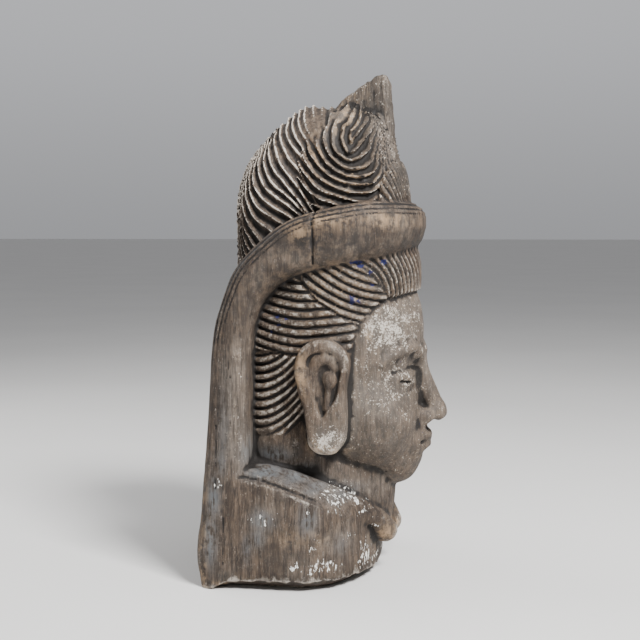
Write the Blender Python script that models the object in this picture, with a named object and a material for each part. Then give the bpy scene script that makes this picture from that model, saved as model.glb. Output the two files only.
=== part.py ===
"""Carved wooden head with topknot, veil and shoulders, cut from one log.

The carving is worked out as one distance field: each mass is a rounded volume, the masses are blended, and the
strands of hair are scooped out of them. The field is meshed and thinned to a faceted solid.
Metres, +Z up, the face looks along -Y, the origin is the middle of the underside.
"""
import bmesh
import bpy
import numpy as np
import openvdb

# Overall sizes of the carving; the widths build up outwards from the head
FOOT = 0.0070               # rough wood left under the shoulders
SET_BACK = 0.0113           # puts the origin under the middle of the depth
HEAD_HALF_WIDTH = 0.0670
HAIR_STANDS_PROUD = 0.0045
VEIL_STANDS_PROUD = 0.0120  # of the hair beside the face
SHOULDERS_STAND_PROUD = 0.0030
HAIR_HALF_WIDTH = HEAD_HALF_WIDTH + HAIR_STANDS_PROUD
VEIL_HALF_WIDTH = HAIR_HALF_WIDTH + VEIL_STANDS_PROUD
SHOULDER_HALF_WIDTH = VEIL_HALF_WIDTH + SHOULDERS_STAND_PROUD
NECK_HALF_WIDTH = HEAD_HALF_WIDTH - 0.0150
TOPKNOT_HALF_WIDTH = HEAD_HALF_WIDTH - 0.0070
VEIL_FRONT = 0.0975         # reach of the band in front of its widest point
VEIL_ROUND = 0.0120         # rounding of the veil's edges
VEIL_FLARE = 0.0080         # how far the veil spreads on each side at the foot
VEIL_BACK = 0.0830          # the back of the veil at the foot
SHOULDER_FRONT = 0.0580     # reach of the shoulders in front of their widest point
SHOULDER_FLARE = 0.0060
EAR_STANDS_PROUD = 0.0080
EAR_FACE = HAIR_HALF_WIDTH + EAR_STANDS_PROUD
EAR_DEPTH = 0.0042          # of the hollow in the ear
EAR_ROUND = 0.0055
CREST_HALF_WIDTH = 0.0175
SWIRL_STANDS_PROUD = 0.0045

# Pitch and depth of the carved strands
STRAND_PITCH = 0.0064       # of flutes and curls beyond the ones laid out below
TOP_DEPTH, SWIRL_DEPTH = 0.0036, 0.0046
FAN_PITCH, FAN_DEPTH = 0.0052, 0.0026
PARTING_PITCH, PARTING_DEPTH = 0.0058, 0.0028
TEMPLE_PITCH, TEMPLE_DEPTH = 0.0061, 0.0030
SIDE_PITCH, SIDE_DEPTH = 0.0069, 0.0033
NAPE_PITCH, NAPE_DEPTH = 0.0072, 0.0035

# Meshing
STEP = 0.0015
LEVELS = 3
TRIANGLES = 9900
LOW = np.array([-0.102, -0.116, -0.012])
HIGH = np.array([0.102, 0.092, 0.404])

# Side view outlines as (y, z), measured from a level FOOT above the underside
TOPKNOT_OUTLINE = [
    (0.0500, 0.1750), (0.0660, 0.1850), (0.0725, 0.2050), (0.0735, 0.2300), (0.0740, 0.2600), (0.0750, 0.2850),
    (0.0735, 0.3020), (0.0695, 0.3150), (0.0610, 0.3310), (0.0410, 0.3515), (0.0280, 0.3635), (0.0154, 0.3740),
    (0.0060, 0.3760), (-0.0060, 0.3740), (-0.0200, 0.3760), (-0.0400, 0.3700), (-0.0550, 0.3620),
    (-0.0615, 0.3500), (-0.0635, 0.3400), (-0.0665, 0.3300), (-0.0715, 0.3200), (-0.0740, 0.3080),
    (-0.0755, 0.2930), (-0.0755, 0.2700), (-0.0600, 0.2350)]
SWIRL_OUTLINE = [
    (-0.0132, 0.3680), (-0.0036, 0.3520), (0.0068, 0.3400), (0.0133, 0.3265), (0.0110, 0.3060), (0.0004, 0.2880),
    (-0.0100, 0.2620), (-0.0600, 0.2550), (-0.1000, 0.2700), (-0.1050, 0.3400), (-0.0700, 0.3720), (-0.0350, 0.3760)]
CREST_OUTLINE = [
    (-0.0040, 0.3580), (-0.0111, 0.3655), (-0.0205, 0.3760), (-0.0323, 0.3850), (-0.0464, 0.3940),
    (-0.0545, 0.3975), (-0.0575, 0.3910), (-0.0585, 0.3750), (-0.0605, 0.3580), (-0.0600, 0.3380),
    (-0.0300, 0.3300), (-0.0050, 0.3450)]
VEIL_OUTER_EDGE = [
    (-0.1150, 0.2920), (-0.0600, 0.2945), (-0.0270, 0.2905), (0.0080, 0.2810), (0.0310, 0.2660), (0.0525, 0.2435),
    (0.0640, 0.2178), (0.0714, 0.1894), (0.0745, 0.1420), (0.0770, 0.1043), (0.0795, 0.0680), (0.0810, 0.0480),
    (0.0835, 0.0286), (0.0835, 0.0130), (0.0805, -0.0040), (0.0780, -0.0300)]
VEIL_INNER_EDGE = [
    (0.0440, -0.0300), (0.0435, 0.0600), (0.0430, 0.1000), (0.0425, 0.1500), (0.0412, 0.1800), (0.0370, 0.2030),
    (0.0275, 0.2210), (0.0080, 0.2355), (-0.0270, 0.2445), (-0.0600, 0.2495), (-0.0810, 0.2535), (-0.1150, 0.2580)]
COLLAR_EDGE = [
    (-0.0800, 0.0220), (-0.0680, 0.0330), (-0.0585, 0.0400), (-0.0448, 0.0500), (-0.0279, 0.0636),
    (-0.0052, 0.0758), (0.0194, 0.0855), (0.0410, 0.0905), (0.1000, 0.1000)]
HAIRLINE = [
    (-0.1200, 0.2225), (-0.0900, 0.2220), (-0.0785, 0.2216), (-0.0656, 0.2180), (-0.0545, 0.2130),
    (-0.0437, 0.2004), (-0.0374, 0.1865), (-0.0352, 0.1720), (-0.0300, 0.1500), (-0.0120, 0.1400),
    (0.0067, 0.1220), (0.0208, 0.1085), (0.0374, 0.1060), (0.1000, 0.1040)]
EAR_OUTLINE = [
    (0.0064, 0.1627), (0.0048, 0.1735), (0.0001, 0.1821), (-0.0077, 0.1869), (-0.0139, 0.1879),
    (-0.0217, 0.1871), (-0.0279, 0.1838), (-0.0325, 0.1789), (-0.0352, 0.1728), (-0.0353, 0.1651),
    (-0.0341, 0.1574), (-0.0330, 0.1481), (-0.0332, 0.1381), (-0.0334, 0.1280), (-0.0330, 0.1172),
    (-0.0311, 0.1071), (-0.0256, 0.0991), (-0.0178, 0.0965), (-0.0092, 0.0982), (-0.0033, 0.1046),
    (-0.0018, 0.1139), (-0.0010, 0.1256), (0.0013, 0.1372), (0.0045, 0.1488)]
EAR_HOLLOW = [
    (-0.0033, 0.1629), (-0.0034, 0.1706), (-0.0053, 0.1745), (-0.0089, 0.1769), (-0.0139, 0.1783),
    (-0.0194, 0.1784), (-0.0240, 0.1768), (-0.0271, 0.1730), (-0.0289, 0.1673), (-0.0287, 0.1611),
    (-0.0275, 0.1549), (-0.0268, 0.1487), (-0.0248, 0.1417), (-0.0217, 0.1370), (-0.0182, 0.1330),
    (-0.0151, 0.1275), (-0.0124, 0.1337), (-0.0096, 0.1421), (-0.0065, 0.1506), (-0.0042, 0.1567)]
# Ridges of the carved strands in side view, each one from its upper end
SWIRL_RIDGES = [
    [(-0.0325, 0.3703), (-0.0321, 0.3658), (-0.0309, 0.3610), (-0.0294, 0.3562), (-0.0264, 0.3528),
     (-0.0254, 0.3478), (-0.0248, 0.3439), (-0.0259, 0.3399), (-0.0276, 0.3363), (-0.0302, 0.3324),
     (-0.0329, 0.3316), (-0.0366, 0.3342), (-0.0396, 0.3388), (-0.0425, 0.3428), (-0.0454, 0.3480),
     (-0.0495, 0.3528), (-0.0543, 0.3576)],
    [(-0.0265, 0.3715), (-0.0238, 0.3665), (-0.0211, 0.3611), (-0.0183, 0.3556), (-0.0175, 0.3509),
     (-0.0176, 0.3455), (-0.0178, 0.3402), (-0.0191, 0.3356), (-0.0220, 0.3316), (-0.0260, 0.3286),
     (-0.0299, 0.3263), (-0.0336, 0.3257), (-0.0369, 0.3270), (-0.0407, 0.3290), (-0.0443, 0.3329),
     (-0.0463, 0.3369), (-0.0482, 0.3428), (-0.0511, 0.3481), (-0.0541, 0.3521), (-0.0577, 0.3549)],
    [(-0.0132, 0.3550), (-0.0114, 0.3502), (-0.0103, 0.3456), (-0.0110, 0.3410), (-0.0133, 0.3350),
     (-0.0170, 0.3291), (-0.0210, 0.3251), (-0.0250, 0.3218), (-0.0302, 0.3193), (-0.0359, 0.3189),
     (-0.0416, 0.3199), (-0.0453, 0.3218), (-0.0483, 0.3258), (-0.0505, 0.3323), (-0.0528, 0.3389),
     (-0.0556, 0.3442), (-0.0598, 0.3496), (-0.0619, 0.3523)],
    [(-0.0068, 0.3497), (-0.0049, 0.3433), (-0.0059, 0.3371), (-0.0090, 0.3311), (-0.0133, 0.3245),
     (-0.0173, 0.3206), (-0.0213, 0.3173), (-0.0265, 0.3147), (-0.0318, 0.3127), (-0.0388, 0.3124),
     (-0.0444, 0.3134), (-0.0486, 0.3154), (-0.0517, 0.3193), (-0.0531, 0.3245), (-0.0543, 0.3311),
     (-0.0563, 0.3363), (-0.0593, 0.3416), (-0.0622, 0.3443)],
    [(0.0002, 0.3482), (0.0029, 0.3410), (0.0011, 0.3338), (-0.0033, 0.3279), (-0.0061, 0.3239),
     (-0.0095, 0.3200), (-0.0143, 0.3154), (-0.0189, 0.3122), (-0.0242, 0.3096), (-0.0300, 0.3079),
     (-0.0363, 0.3068), (-0.0427, 0.3066), (-0.0489, 0.3078), (-0.0531, 0.3116), (-0.0555, 0.3161),
     (-0.0565, 0.3220), (-0.0579, 0.3292), (-0.0606, 0.3351), (-0.0625, 0.3371)],
    [(0.0076, 0.3395), (0.0067, 0.3331), (0.0044, 0.3276), (0.0018, 0.3240), (-0.0017, 0.3187),
     (-0.0065, 0.3136), (-0.0119, 0.3096), (-0.0172, 0.3065), (-0.0224, 0.3038), (-0.0282, 0.3018),
     (-0.0340, 0.3001), (-0.0403, 0.2994), (-0.0453, 0.2999), (-0.0497, 0.3017), (-0.0541, 0.3056),
     (-0.0576, 0.3119), (-0.0596, 0.3197), (-0.0623, 0.3291)],
    [(0.0119, 0.3324), (0.0094, 0.3253), (0.0070, 0.3202), (0.0034, 0.3156), (-0.0014, 0.3103),
     (-0.0068, 0.3049), (-0.0128, 0.3010), (-0.0200, 0.2986), (-0.0264, 0.2964), (-0.0322, 0.2948),
     (-0.0379, 0.2936), (-0.0432, 0.2934), (-0.0491, 0.2948), (-0.0550, 0.2987), (-0.0600, 0.3057)]]
FLUTE_RIDGES = [
    [(0.0032, 0.3704), (0.0009, 0.3653), (-0.0021, 0.3563), (-0.0052, 0.3493)],
    [(0.0093, 0.3684), (0.0077, 0.3613), (0.0049, 0.3544), (0.0009, 0.3478)],
    [(0.0131, 0.3652), (0.0126, 0.3601), (0.0102, 0.3538), (0.0069, 0.3483), (0.0031, 0.3428)],
    [(0.0176, 0.3618), (0.0177, 0.3573), (0.0145, 0.3498), (0.0113, 0.3437), (0.0067, 0.3374)],
    [(0.0216, 0.3582), (0.0216, 0.3526), (0.0188, 0.3451), (0.0150, 0.3390), (0.0113, 0.3349),
     (0.0070, 0.3303)],
    [(0.0273, 0.3521), (0.0266, 0.3480), (0.0232, 0.3399), (0.0193, 0.3331), (0.0163, 0.3278),
     (0.0127, 0.3238), (0.0080, 0.3184)],
    [(0.0313, 0.3474), (0.0310, 0.3427), (0.0276, 0.3346), (0.0243, 0.3259), (0.0199, 0.3192),
     (0.0156, 0.3140), (0.0106, 0.3080), (0.0050, 0.3012)],
    [(0.0358, 0.3434), (0.0361, 0.3374), (0.0327, 0.3280), (0.0295, 0.3213), (0.0251, 0.3153),
     (0.0208, 0.3109), (0.0168, 0.3058), (0.0126, 0.3009), (0.0055, 0.2927)],
    [(0.0410, 0.3369), (0.0397, 0.3295), (0.0357, 0.3202), (0.0311, 0.3115), (0.0257, 0.3054),
     (0.0211, 0.3022), (0.0165, 0.2985), (0.0124, 0.2950), (0.0075, 0.2898), (-0.0000, 0.2829)],
    [(0.0462, 0.3290), (0.0435, 0.3203), (0.0388, 0.3116), (0.0343, 0.3050), (0.0286, 0.3002),
     (0.0222, 0.2954), (0.0158, 0.2910), (0.0110, 0.2870), (0.0046, 0.2822)],
    [(0.0510, 0.3238), (0.0495, 0.3152), (0.0458, 0.3073), (0.0417, 0.3020), (0.0369, 0.2968),
     (0.0314, 0.2924), (0.0256, 0.2881), (0.0191, 0.2846), (0.0126, 0.2810)],
    [(0.0552, 0.3169), (0.0529, 0.3097), (0.0494, 0.3007), (0.0453, 0.2944), (0.0407, 0.2890),
     (0.0359, 0.2856), (0.0310, 0.2827), (0.0252, 0.2789), (0.0190, 0.2756)],
    [(0.0579, 0.3090), (0.0553, 0.2998), (0.0515, 0.2926), (0.0479, 0.2859), (0.0444, 0.2814),
     (0.0398, 0.2776), (0.0349, 0.2743), (0.0297, 0.2709)],
    [(0.0609, 0.2988), (0.0584, 0.2908), (0.0556, 0.2848), (0.0522, 0.2789), (0.0482, 0.2737),
     (0.0445, 0.2690), (0.0398, 0.2639)],
    [(0.0629, 0.2908), (0.0604, 0.2821), (0.0576, 0.2757), (0.0542, 0.2703), (0.0502, 0.2656),
     (0.0463, 0.2603)],
    [(0.0633, 0.2813), (0.0600, 0.2716), (0.0570, 0.2652), (0.0529, 0.2595), (0.0485, 0.2539)],
    [(0.0629, 0.2693), (0.0593, 0.2600), (0.0562, 0.2542), (0.0518, 0.2485)],
    [(0.0625, 0.2574), (0.0586, 0.2495), (0.0551, 0.2436)]]


def clear_scene():
    """Remove everything the empty file starts with."""
    for item in list(bpy.data.objects):
        bpy.data.objects.remove(item)


def curve_through(points, closed=False, steps=6):
    """Points of a smooth curve through the given ones."""
    given = np.array(points, float)
    count = len(given)
    out = []
    for i in range(count if closed else count - 1):
        b, c = given[i], given[(i + 1) % count]
        a = given[i - 1] if closed or i else 2 * b - c
        d = given[(i + 2) % count] if closed or i + 2 < count else 2 * c - b
        for t in np.arange(steps) / steps:
            out.append(b + 0.5 * t * (c - a + t * (2 * a - 5 * b + 4 * c - d + t * (3 * (b - c) + d - a))))
    if not closed:
        out.append(given[-1])
    return np.array(out)


class SideShape:
    """Distance to a side-view outline, worked out once on a grid and read between its points."""
    PITCH = 0.0008
    Y0, Z0, ROWS, COLUMNS = -0.118, -0.012, 320, 530

    def __init__(self, outline, closed=True, shut=0):
        # the last `shut` sides only close the outline and aren't measured to
        y = (self.Y0 + self.PITCH * np.arange(self.ROWS))[:, None]
        z = (self.Z0 + self.PITCH * np.arange(self.COLUMNS))[None, :]
        nearest = np.full((self.ROWS, self.COLUMNS), np.inf)
        inside = np.zeros(nearest.shape, bool)
        ends = np.roll(outline, -1, axis=0) if closed else outline[1:]
        for side, ((y0, z0), (y1, z1)) in enumerate(zip(outline, ends)):
            dy, dz = y1 - y0, z1 - z0
            if side < len(outline) - shut:
                t = np.clip(((y - y0) * dy + (z - z0) * dz) / (dy * dy + dz * dz + 1e-18), 0, 1)
                nearest = np.minimum(nearest, (y - y0 - t * dy)**2 + (z - z0 - t * dz)**2)
            if closed and z0 != z1:
                inside ^= ((z0 > z) != (z1 > z)) & (y < dy * (z - z0) / (z1 - z0) + y0)
        self.table = (np.where(inside, -1, 1) * np.sqrt(nearest)).astype(np.float32)

    def __call__(self, y, z):
        u = np.clip((y - self.Y0) / self.PITCH, 0, self.ROWS - 1.001)
        v = np.clip((z - self.Z0) / self.PITCH, 0, self.COLUMNS - 1.001)
        i, j = u.astype(np.int32), v.astype(np.int32)
        u, v = u - i, v - j
        near = self.table[i, j] * (1 - u) + self.table[i + 1, j] * u
        far = self.table[i, j + 1] * (1 - u) + self.table[i + 1, j + 1] * u
        return near * (1 - v) + far * v


class Strands(SideShape):
    """Phase that grows by one from each ridge to the next; `corners` close the ridges round the earlier ones."""

    def __init__(self, ridges, corners, pitch):
        gaps = []
        for ridge in ridges:
            # a ridge goes straight on past both its ends
            line = curve_through(ridge, steps=3)
            ends = [self.beyond(line[-1], corners[0])], [self.beyond(line[0], corners[-1])]
            outline = np.concatenate([ends[1], line, ends[0], corners])
            gaps.append(SideShape(outline, shut=len(corners) + 1).table)
        gaps = np.array(gaps)
        passed = (gaps > 0).sum(0)
        before = np.take_along_axis(gaps, np.maximum(passed - 1, 0)[None], 0)[0]
        after = np.take_along_axis(gaps, np.minimum(passed, len(ridges) - 1)[None], 0)[0]
        between = passed - 1 + before / np.maximum(before - after, 1e-6)
        outer = np.where(passed == 0, after / pitch, len(ridges) - 1 + before / pitch)
        self.table = np.where((passed > 0) & (passed < len(ridges)), between, outer).astype(np.float32)

    @staticmethod
    def beyond(end, corner):
        """Point 50 mm past the end of a ridge, on the way to a corner."""
        away = np.subtract(corner, end)
        return end + 0.05 * away / np.hypot(*away)


TOPKNOT = SideShape(curve_through(TOPKNOT_OUTLINE, closed=True))
SWIRL = SideShape(curve_through(SWIRL_OUTLINE, closed=True))
CREST = SideShape(np.array(CREST_OUTLINE))
VEIL = SideShape(np.concatenate([curve_through(VEIL_OUTER_EDGE), curve_through(VEIL_INNER_EDGE)]))
HAIR = SideShape(np.concatenate([curve_through(HAIRLINE), [(0.12, 0.30), (-0.12, 0.30)]]))
EAR = SideShape(curve_through(EAR_OUTLINE, closed=True))
HOLLOW = SideShape(curve_through(EAR_HOLLOW, closed=True))
COLLAR = curve_through(COLLAR_EDGE)
CURLS = Strands(SWIRL_RIDGES, [(-0.130, 0.560), (0.000, 0.560)], STRAND_PITCH)
FLUTES = Strands(FLUTE_RIDGES, [(-0.120, 0.100), (-0.120, 0.660), (0.160, 0.660)], STRAND_PITCH)


def blend(a, b, reach):
    """Union of two fields with a fillet."""
    h = np.maximum(reach - np.abs(a - b), 0) / reach
    return np.minimum(a, b) - h * h * (reach / 4)


def carve(a, b, reach):
    """The first field with the second one cut away, with a soft lip."""
    return -blend(-a, b, reach)


def meet(a, b, radius):
    """Where two fields overlap, with a rounded edge."""
    u, v = np.maximum(a + radius, 0), np.maximum(b + radius, 0)
    return np.minimum(np.maximum(a, b), -radius) + np.sqrt(u * u + v * v)


def ramp(t, low, high):
    """Smooth step from 0 to 1."""
    t = np.clip((t - low) / (high - low), 0, 1)
    return t * t * (3 - 2 * t)


def egg(x, y, z, centre, radii):
    """Ellipsoid."""
    u, v, w = (x - centre[0]) / radii[0], (y - centre[1]) / radii[1], (z - centre[2]) / radii[2]
    out = np.sqrt(u * u + v * v + w * w)
    slope = np.sqrt((u / radii[0])**2 + (v / radii[1])**2 + (w / radii[2])**2)
    return out * (out - 1) / np.maximum(slope, 1e-6)


def stroke(x, y, z, points):
    """Round stroke through (x, y, z, radius) points."""
    best = np.inf
    for start, end in zip(points, points[1:]):
        (ax, ay, az, ar), (bx, by, bz, br) = start, end
        dx, dy, dz = bx - ax, by - ay, bz - az
        t = ((x - ax) * dx + (y - ay) * dy + (z - az) * dz) / (dx * dx + dy * dy + dz * dz)
        t = np.clip(t, 0, 1)
        gap = np.sqrt((x - ax - t * dx)**2 + (y - ay - t * dy)**2 + (z - az - t * dz)**2)
        best = np.minimum(best, gap - ar - t * (br - ar))
    return best


def plan_oval(x, y, half_width, reach, power):
    """Distance from an oval plan, straight behind y = 0.010; the front is `reach` before that line."""
    front = np.maximum(0.010 - y, 0) / reach
    return half_width * (((np.abs(x) / half_width)**power + front**power)**(1 / power) - 1)


def hashed(i, j, k):
    """Fixed number from -1 to 1 for a cell."""
    n = (i * 374761393 + j * 668265263 + k * 2147483647 + 1442695041) & 0x7FFFFFFF
    n = ((n ^ (n >> 13)) * 1274126177) & 0x7FFFFFFF
    n = (n ^ (n >> 16)) & 0xFFFFF
    return n * (2.0 / 0xFFFFF) - 1


def unevenness(x, y, z, cell, seed):
    """Smooth noise from -1 to 1 over cells of one size, the same on every run."""
    u, v, w = x / cell + 57.3 + seed, y / cell + 31.7 - seed, z / cell + 11.1
    i, j, k = (np.floor(t).astype(np.int64) for t in (u, v, w))
    u, v, w = u - i, v - j, w - k
    u, v, w = (t * t * (3 - 2 * t) for t in (u, v, w))
    total = 0
    for a in (0, 1):
        for b in (0, 1):
            for c in (0, 1):
                share = (u if a else 1 - u) * (v if b else 1 - v) * (w if c else 1 - w)
                total = total + share * hashed(i + a, j + b, k + c + 101 * seed)
    return total


def scooped(phase, depth):
    """Hollow flutes between sharp ridges, one per whole number of phase."""
    part = phase - np.floor(phase)
    return depth * (1 - (2 * part - 1)**2)


def ribbed(phase, depth):
    """Rounded strands between grooves, one per whole number of phase."""
    across = np.abs(2 * (phase - np.floor(phase)) - 1)
    return depth * (0.32 * across**2 + 0.68 * ramp(across, 0.45, 0.95))


def groove(offset, half_width, depth):
    """V-shaped groove along a line."""
    return depth * np.maximum(0, 1 - np.abs(offset) / half_width)


def head(x, y, z):
    """Skull, face and features."""
    ax = np.abs(x)
    d = egg(x, y, z, (0, -0.003, 0.190), (HEAD_HALF_WIDTH, 0.0835, 0.085))
    d = blend(d, egg(x, y, z, (0, -0.020, 0.143), (HEAD_HALF_WIDTH - 0.0070, 0.0640, 0.078)), 0.012)
    d = blend(d, egg(ax, y, z, (0.030, -0.052, 0.118), (0.026, 0.028, 0.030)), 0.020)
    d = blend(d, egg(x, y, z, (0, -0.064, 0.084), (0.024, 0.020, 0.021)), 0.022)
    d = carve(d, egg(ax, y, z, (0.0265, -0.094, 0.155), (0.019, 0.015, 0.0115)), 0.012)
    ball = egg(ax, y, z, (0.0265, -0.0665, 0.1535), (0.0170, 0.0145, 0.0125))
    d = blend(d, ball, 0.003)
    slit = np.maximum(np.abs(z - 0.1505 - 9.0 * (ax - 0.0265)**2) - 0.0009, np.abs(ax - 0.0265) - 0.0145)
    slit = np.maximum(slit, y + 0.066)
    d = carve(d, np.maximum(slit, -(ball + 0.0022)), 0.0012)
    crease = np.maximum(np.abs(z - 0.1620 + 11.0 * (ax - 0.0265)**2), np.abs(ax - 0.0265) - 0.016)
    d = d + groove(crease, 0.0018, 0.0010) * (y < -0.05)
    nose = stroke(ax, y, z, [(0, -0.080, 0.170, 0.0065), (0, -0.0870, 0.150, 0.0070), (0, -0.0955, 0.127, 0.0085)])
    nose = blend(nose, egg(x, y, z, (0, -0.0975, 0.1225), (0.0085, 0.0085, 0.0080)), 0.006)
    nose = blend(nose, egg(ax, y, z, (0.0105, -0.0865, 0.1205), (0.0065, 0.0095, 0.0070)), 0.005)
    d = blend(d, nose, 0.007)
    d = carve(d, egg(ax, y, z, (0.0055, -0.0935, 0.1135), (0.0030, 0.0045, 0.0035)), 0.003)
    brow = stroke(ax, y, z, [
        (0.006, -0.084, 0.163, 0.002), (0.013, -0.0850, 0.1725, 0.003), (0.028, -0.0815, 0.1790, 0.003),
        (0.043, -0.069, 0.1745, 0.002), (0.050, -0.058, 0.167, 0.001)])
    d = blend(d, brow, 0.008)
    d = blend(d, egg(x, y, z, (0, -0.0785, 0.1000), (0.024, 0.0125, 0.0150)), 0.010)
    upper_lip = stroke(ax, y, z, [
        (0, -0.0900, 0.1025, 0.0040), (0.007, -0.0895, 0.1035, 0.0042), (0.0195, -0.0790, 0.1005, 0.0018)])
    lower_lip = stroke(ax, y, z, [
        (0, -0.0885, 0.0955, 0.0050), (0.008, -0.0870, 0.0960, 0.0045), (0.0185, -0.0785, 0.0990, 0.0016)])
    d = blend(blend(d, upper_lip, 0.003), lower_lip, 0.003)
    seam = stroke(ax, y, z, [
        (0, -0.0965, 0.0990, 0.0014), (0.008, -0.0940, 0.0995, 0.0013), (0.0205, -0.0820, 0.1000, 0.0014)])
    d = carve(d, seam, 0.0025)
    d = carve(d, egg(x, y, z, (0, -0.0990, 0.1120), (0.0022, 0.0105, 0.0055)), 0.004)
    d = carve(d, egg(x, y, z, (0, -0.0960, 0.0880), (0.013, 0.0085, 0.0040)), 0.006)
    return np.maximum(d, y - 0.060)


def ears(x, y, z):
    """Long-lobed ears: a leaning plate with a shallow hollow that holds a bent fold, a knob and a thin stem."""
    face = np.abs(x) - EAR_FACE - 0.10 * (z - 0.15) - 0.12 * (y + 0.013)
    d = np.maximum(meet(EAR(y, z), face, EAR_ROUND), 0.050 - np.abs(x))
    up = face + EAR_DEPTH
    d = carve(d, meet(HOLLOW(y, z), -up, 0.0015), 0.0030)
    fold = stroke(up, y, z, [
        (-0.0004, -0.0246, 0.1664, 0.0034), (-0.0004, -0.0222, 0.1720, 0.0044), (-0.0004, -0.0176, 0.1732, 0.0048),
        (-0.0006, -0.0120, 0.1712, 0.0046), (-0.0010, -0.0082, 0.1650, 0.0042), (-0.0012, -0.0070, 0.1560, 0.0034),
        (-0.0012, -0.0086, 0.1460, 0.0026)])
    d = blend(d, fold, 0.0035)
    knob = egg(up, y, z, (0, -0.0212, 0.1568), (0.0044, 0.0056, 0.0066))
    stem = stroke(up, y, z, [(0.0002, -0.0200, 0.1521, 0.0026), (0.0006, -0.0180, 0.1340, 0.0022)])
    d = blend(d, blend(knob, stem, 0.003), 0.0012)
    return carve(d, stroke(up, y, z, [(0.0030, -0.0138, 0.1480, 0.0018), (0.0050, -0.0150, 0.1265, 0.0012)]), 0.002)


def side_strands(x, y, z):
    """Depth of the grooves in the hair around the face: four groups of strands, each with its own sweep."""
    # the side view is unrolled round the forehead, so the strands go on across the front and cut straight in
    out = np.hypot(x / HAIR_HALF_WIDTH, (y + 0.004) / 0.081) / 0.965
    out = 1 + (out - 1) * ramp(-y, 0.025, 0.050)
    roll = (y + 0.004) / out - 0.004
    roll = roll - 0.75 * np.maximum(0.060 - np.abs(x) / out, 0) * ramp(-roll, 0.030, 0.078)
    drift = 0.25 * unevenness(x, y, z, 0.03, 3)
    parting = ribbed(np.hypot(roll + 0.0200, z - 0.2004) / PARTING_PITCH + drift, PARTING_DEPTH)
    temple = ribbed(np.hypot(roll + 0.0634, z - 0.2950) / TEMPLE_PITCH + drift, TEMPLE_DEPTH)
    side = ribbed(np.hypot(roll + 0.0083, z - 0.3337) / SIDE_PITCH + drift, SIDE_DEPTH)
    lift = 18.5 * np.maximum(0.0389 - y, 0)**2
    nape = ribbed((z - lift) / NAPE_PITCH + drift, NAPE_DEPTH)
    # the borders between the groups
    before = ((z - 0.2469) * 0.0315 - (roll + 0.0397) * 0.0279) / 0.0421
    middle = 0.75 * (np.interp(z, [0.195, 0.2035, 0.2175, 0.233, 0.26], [-0.045, -0.0303, -0.0083, 0.0035, 0.018]) - y)
    above = z - 0.1745 - 0.05 * y
    depth = np.where(above > 0, np.where(middle > 0, np.where(before > 0, parting, temple), side), nape)
    near = np.where(middle > 0, np.minimum(np.abs(before), np.abs(middle)), np.minimum(np.abs(middle), np.abs(above)))
    near = np.where(above > 0, near, np.abs(above))
    # shallow beside the middle of the brow, where deep grooves would meet under the surface
    shallow = ramp(-y, 0.055, 0.070) * (1 - ramp(np.abs(x), 0.004, 0.016))
    return np.maximum(depth, groove(near, 0.0022, 0.0026)) * (1 - shallow)


def side_hair(x, y, z):
    """Hair between the face and the veil."""
    d = egg(x, y, z, (0, 0.000, 0.190), (HAIR_HALF_WIDTH, 0.0855, 0.092))
    d = blend(d, egg(x, y, z, (0, -0.0080, 0.2360), (HAIR_HALF_WIDTH, 0.0768, 0.070)), 0.006)
    d = blend(d, egg(x, y, z, (0, 0.018, 0.130), (HEAD_HALF_WIDTH - 0.0005, 0.060, 0.062)), 0.010)
    d = carve(d, egg(x, y, z, (0, -0.0950, 0.238), (0.0050, 0.0150, 0.030)), 0.006)
    d = meet(d, HAIR(y, z), 0.0025) + side_strands(x, y, z)
    return np.maximum(d, y - 0.064)


def topknot(x, y, z):
    """The hair piled above the band: a fluted back, a swirl on each side in front, and a plain crest."""
    ax = np.abs(x)
    side = TOPKNOT(y, z)
    half = TOPKNOT_HALF_WIDTH * np.interp(
        z, [0.17, 0.23, 0.29, 0.31, 0.33, 0.35, 0.365, 0.38], [0.75, 1, 0.975, 0.925, 0.842, 0.717, 0.567, 0.367])
    plan = (((ax / half)**2.6 + (np.abs(y) / 0.083)**2.6)**(1 / 2.6) - 1) * half
    drift = 0.06 * unevenness(x, y, z, 0.015, 1)
    # unrolled round the front and the back in the same way
    out = 1 + plan / half * ramp(np.abs(y), 0.030, 0.050)
    along = y / out
    roll = 0.6 * np.maximum(0.045 - ax / out, 0)
    # a rough place between the flutes and the swirl, where no strands are cut
    plain = 1 - np.exp(-((y + 0.001) / 0.0085)**2 - ((z - 0.352) / 0.0125)**2)
    back = meet(side, plan * 0.95, 0.030)
    turn = FLUTES(along + roll * ramp(along, 0.030, 0.070), z) + drift
    back = back + scooped(turn, TOP_DEPTH) * ramp(-side, -0.004, 0.001) * plain
    front = meet(np.maximum(side, SWIRL(y, z)), (plan - SWIRL_STANDS_PROUD) * 0.95, 0.016)
    front = carve(front, egg(x, y, z, (0, -0.035, 0.385), (0.010, 0.040, 0.024)), 0.012)
    unrolled = along - roll * ramp(-along, 0.040, 0.068)
    turn = CURLS(unrolled, z) + drift
    turn = np.floor(turn) + (turn - np.floor(turn))**0.65
    edge = y - np.interp(z, [0.285, 0.295, 0.3125, 0.334, 0.345], [-0.052, -0.054, -0.0573, -0.0669, -0.080])
    fan = ribbed((0.62 * z - 0.785 * unrolled) / FAN_PITCH, FAN_DEPTH)
    cut = np.where(edge < 0, fan, scooped(turn, SWIRL_DEPTH) * plain)
    front = front + np.maximum(cut, groove(edge, 0.0022, 0.003))
    d = blend(back, front, 0.002)
    crest = meet(CREST(y, z), ax - CREST_HALF_WIDTH + 0.06 * (z - 0.36), 0.0022)
    return blend(d, crest, 0.002)


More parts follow.
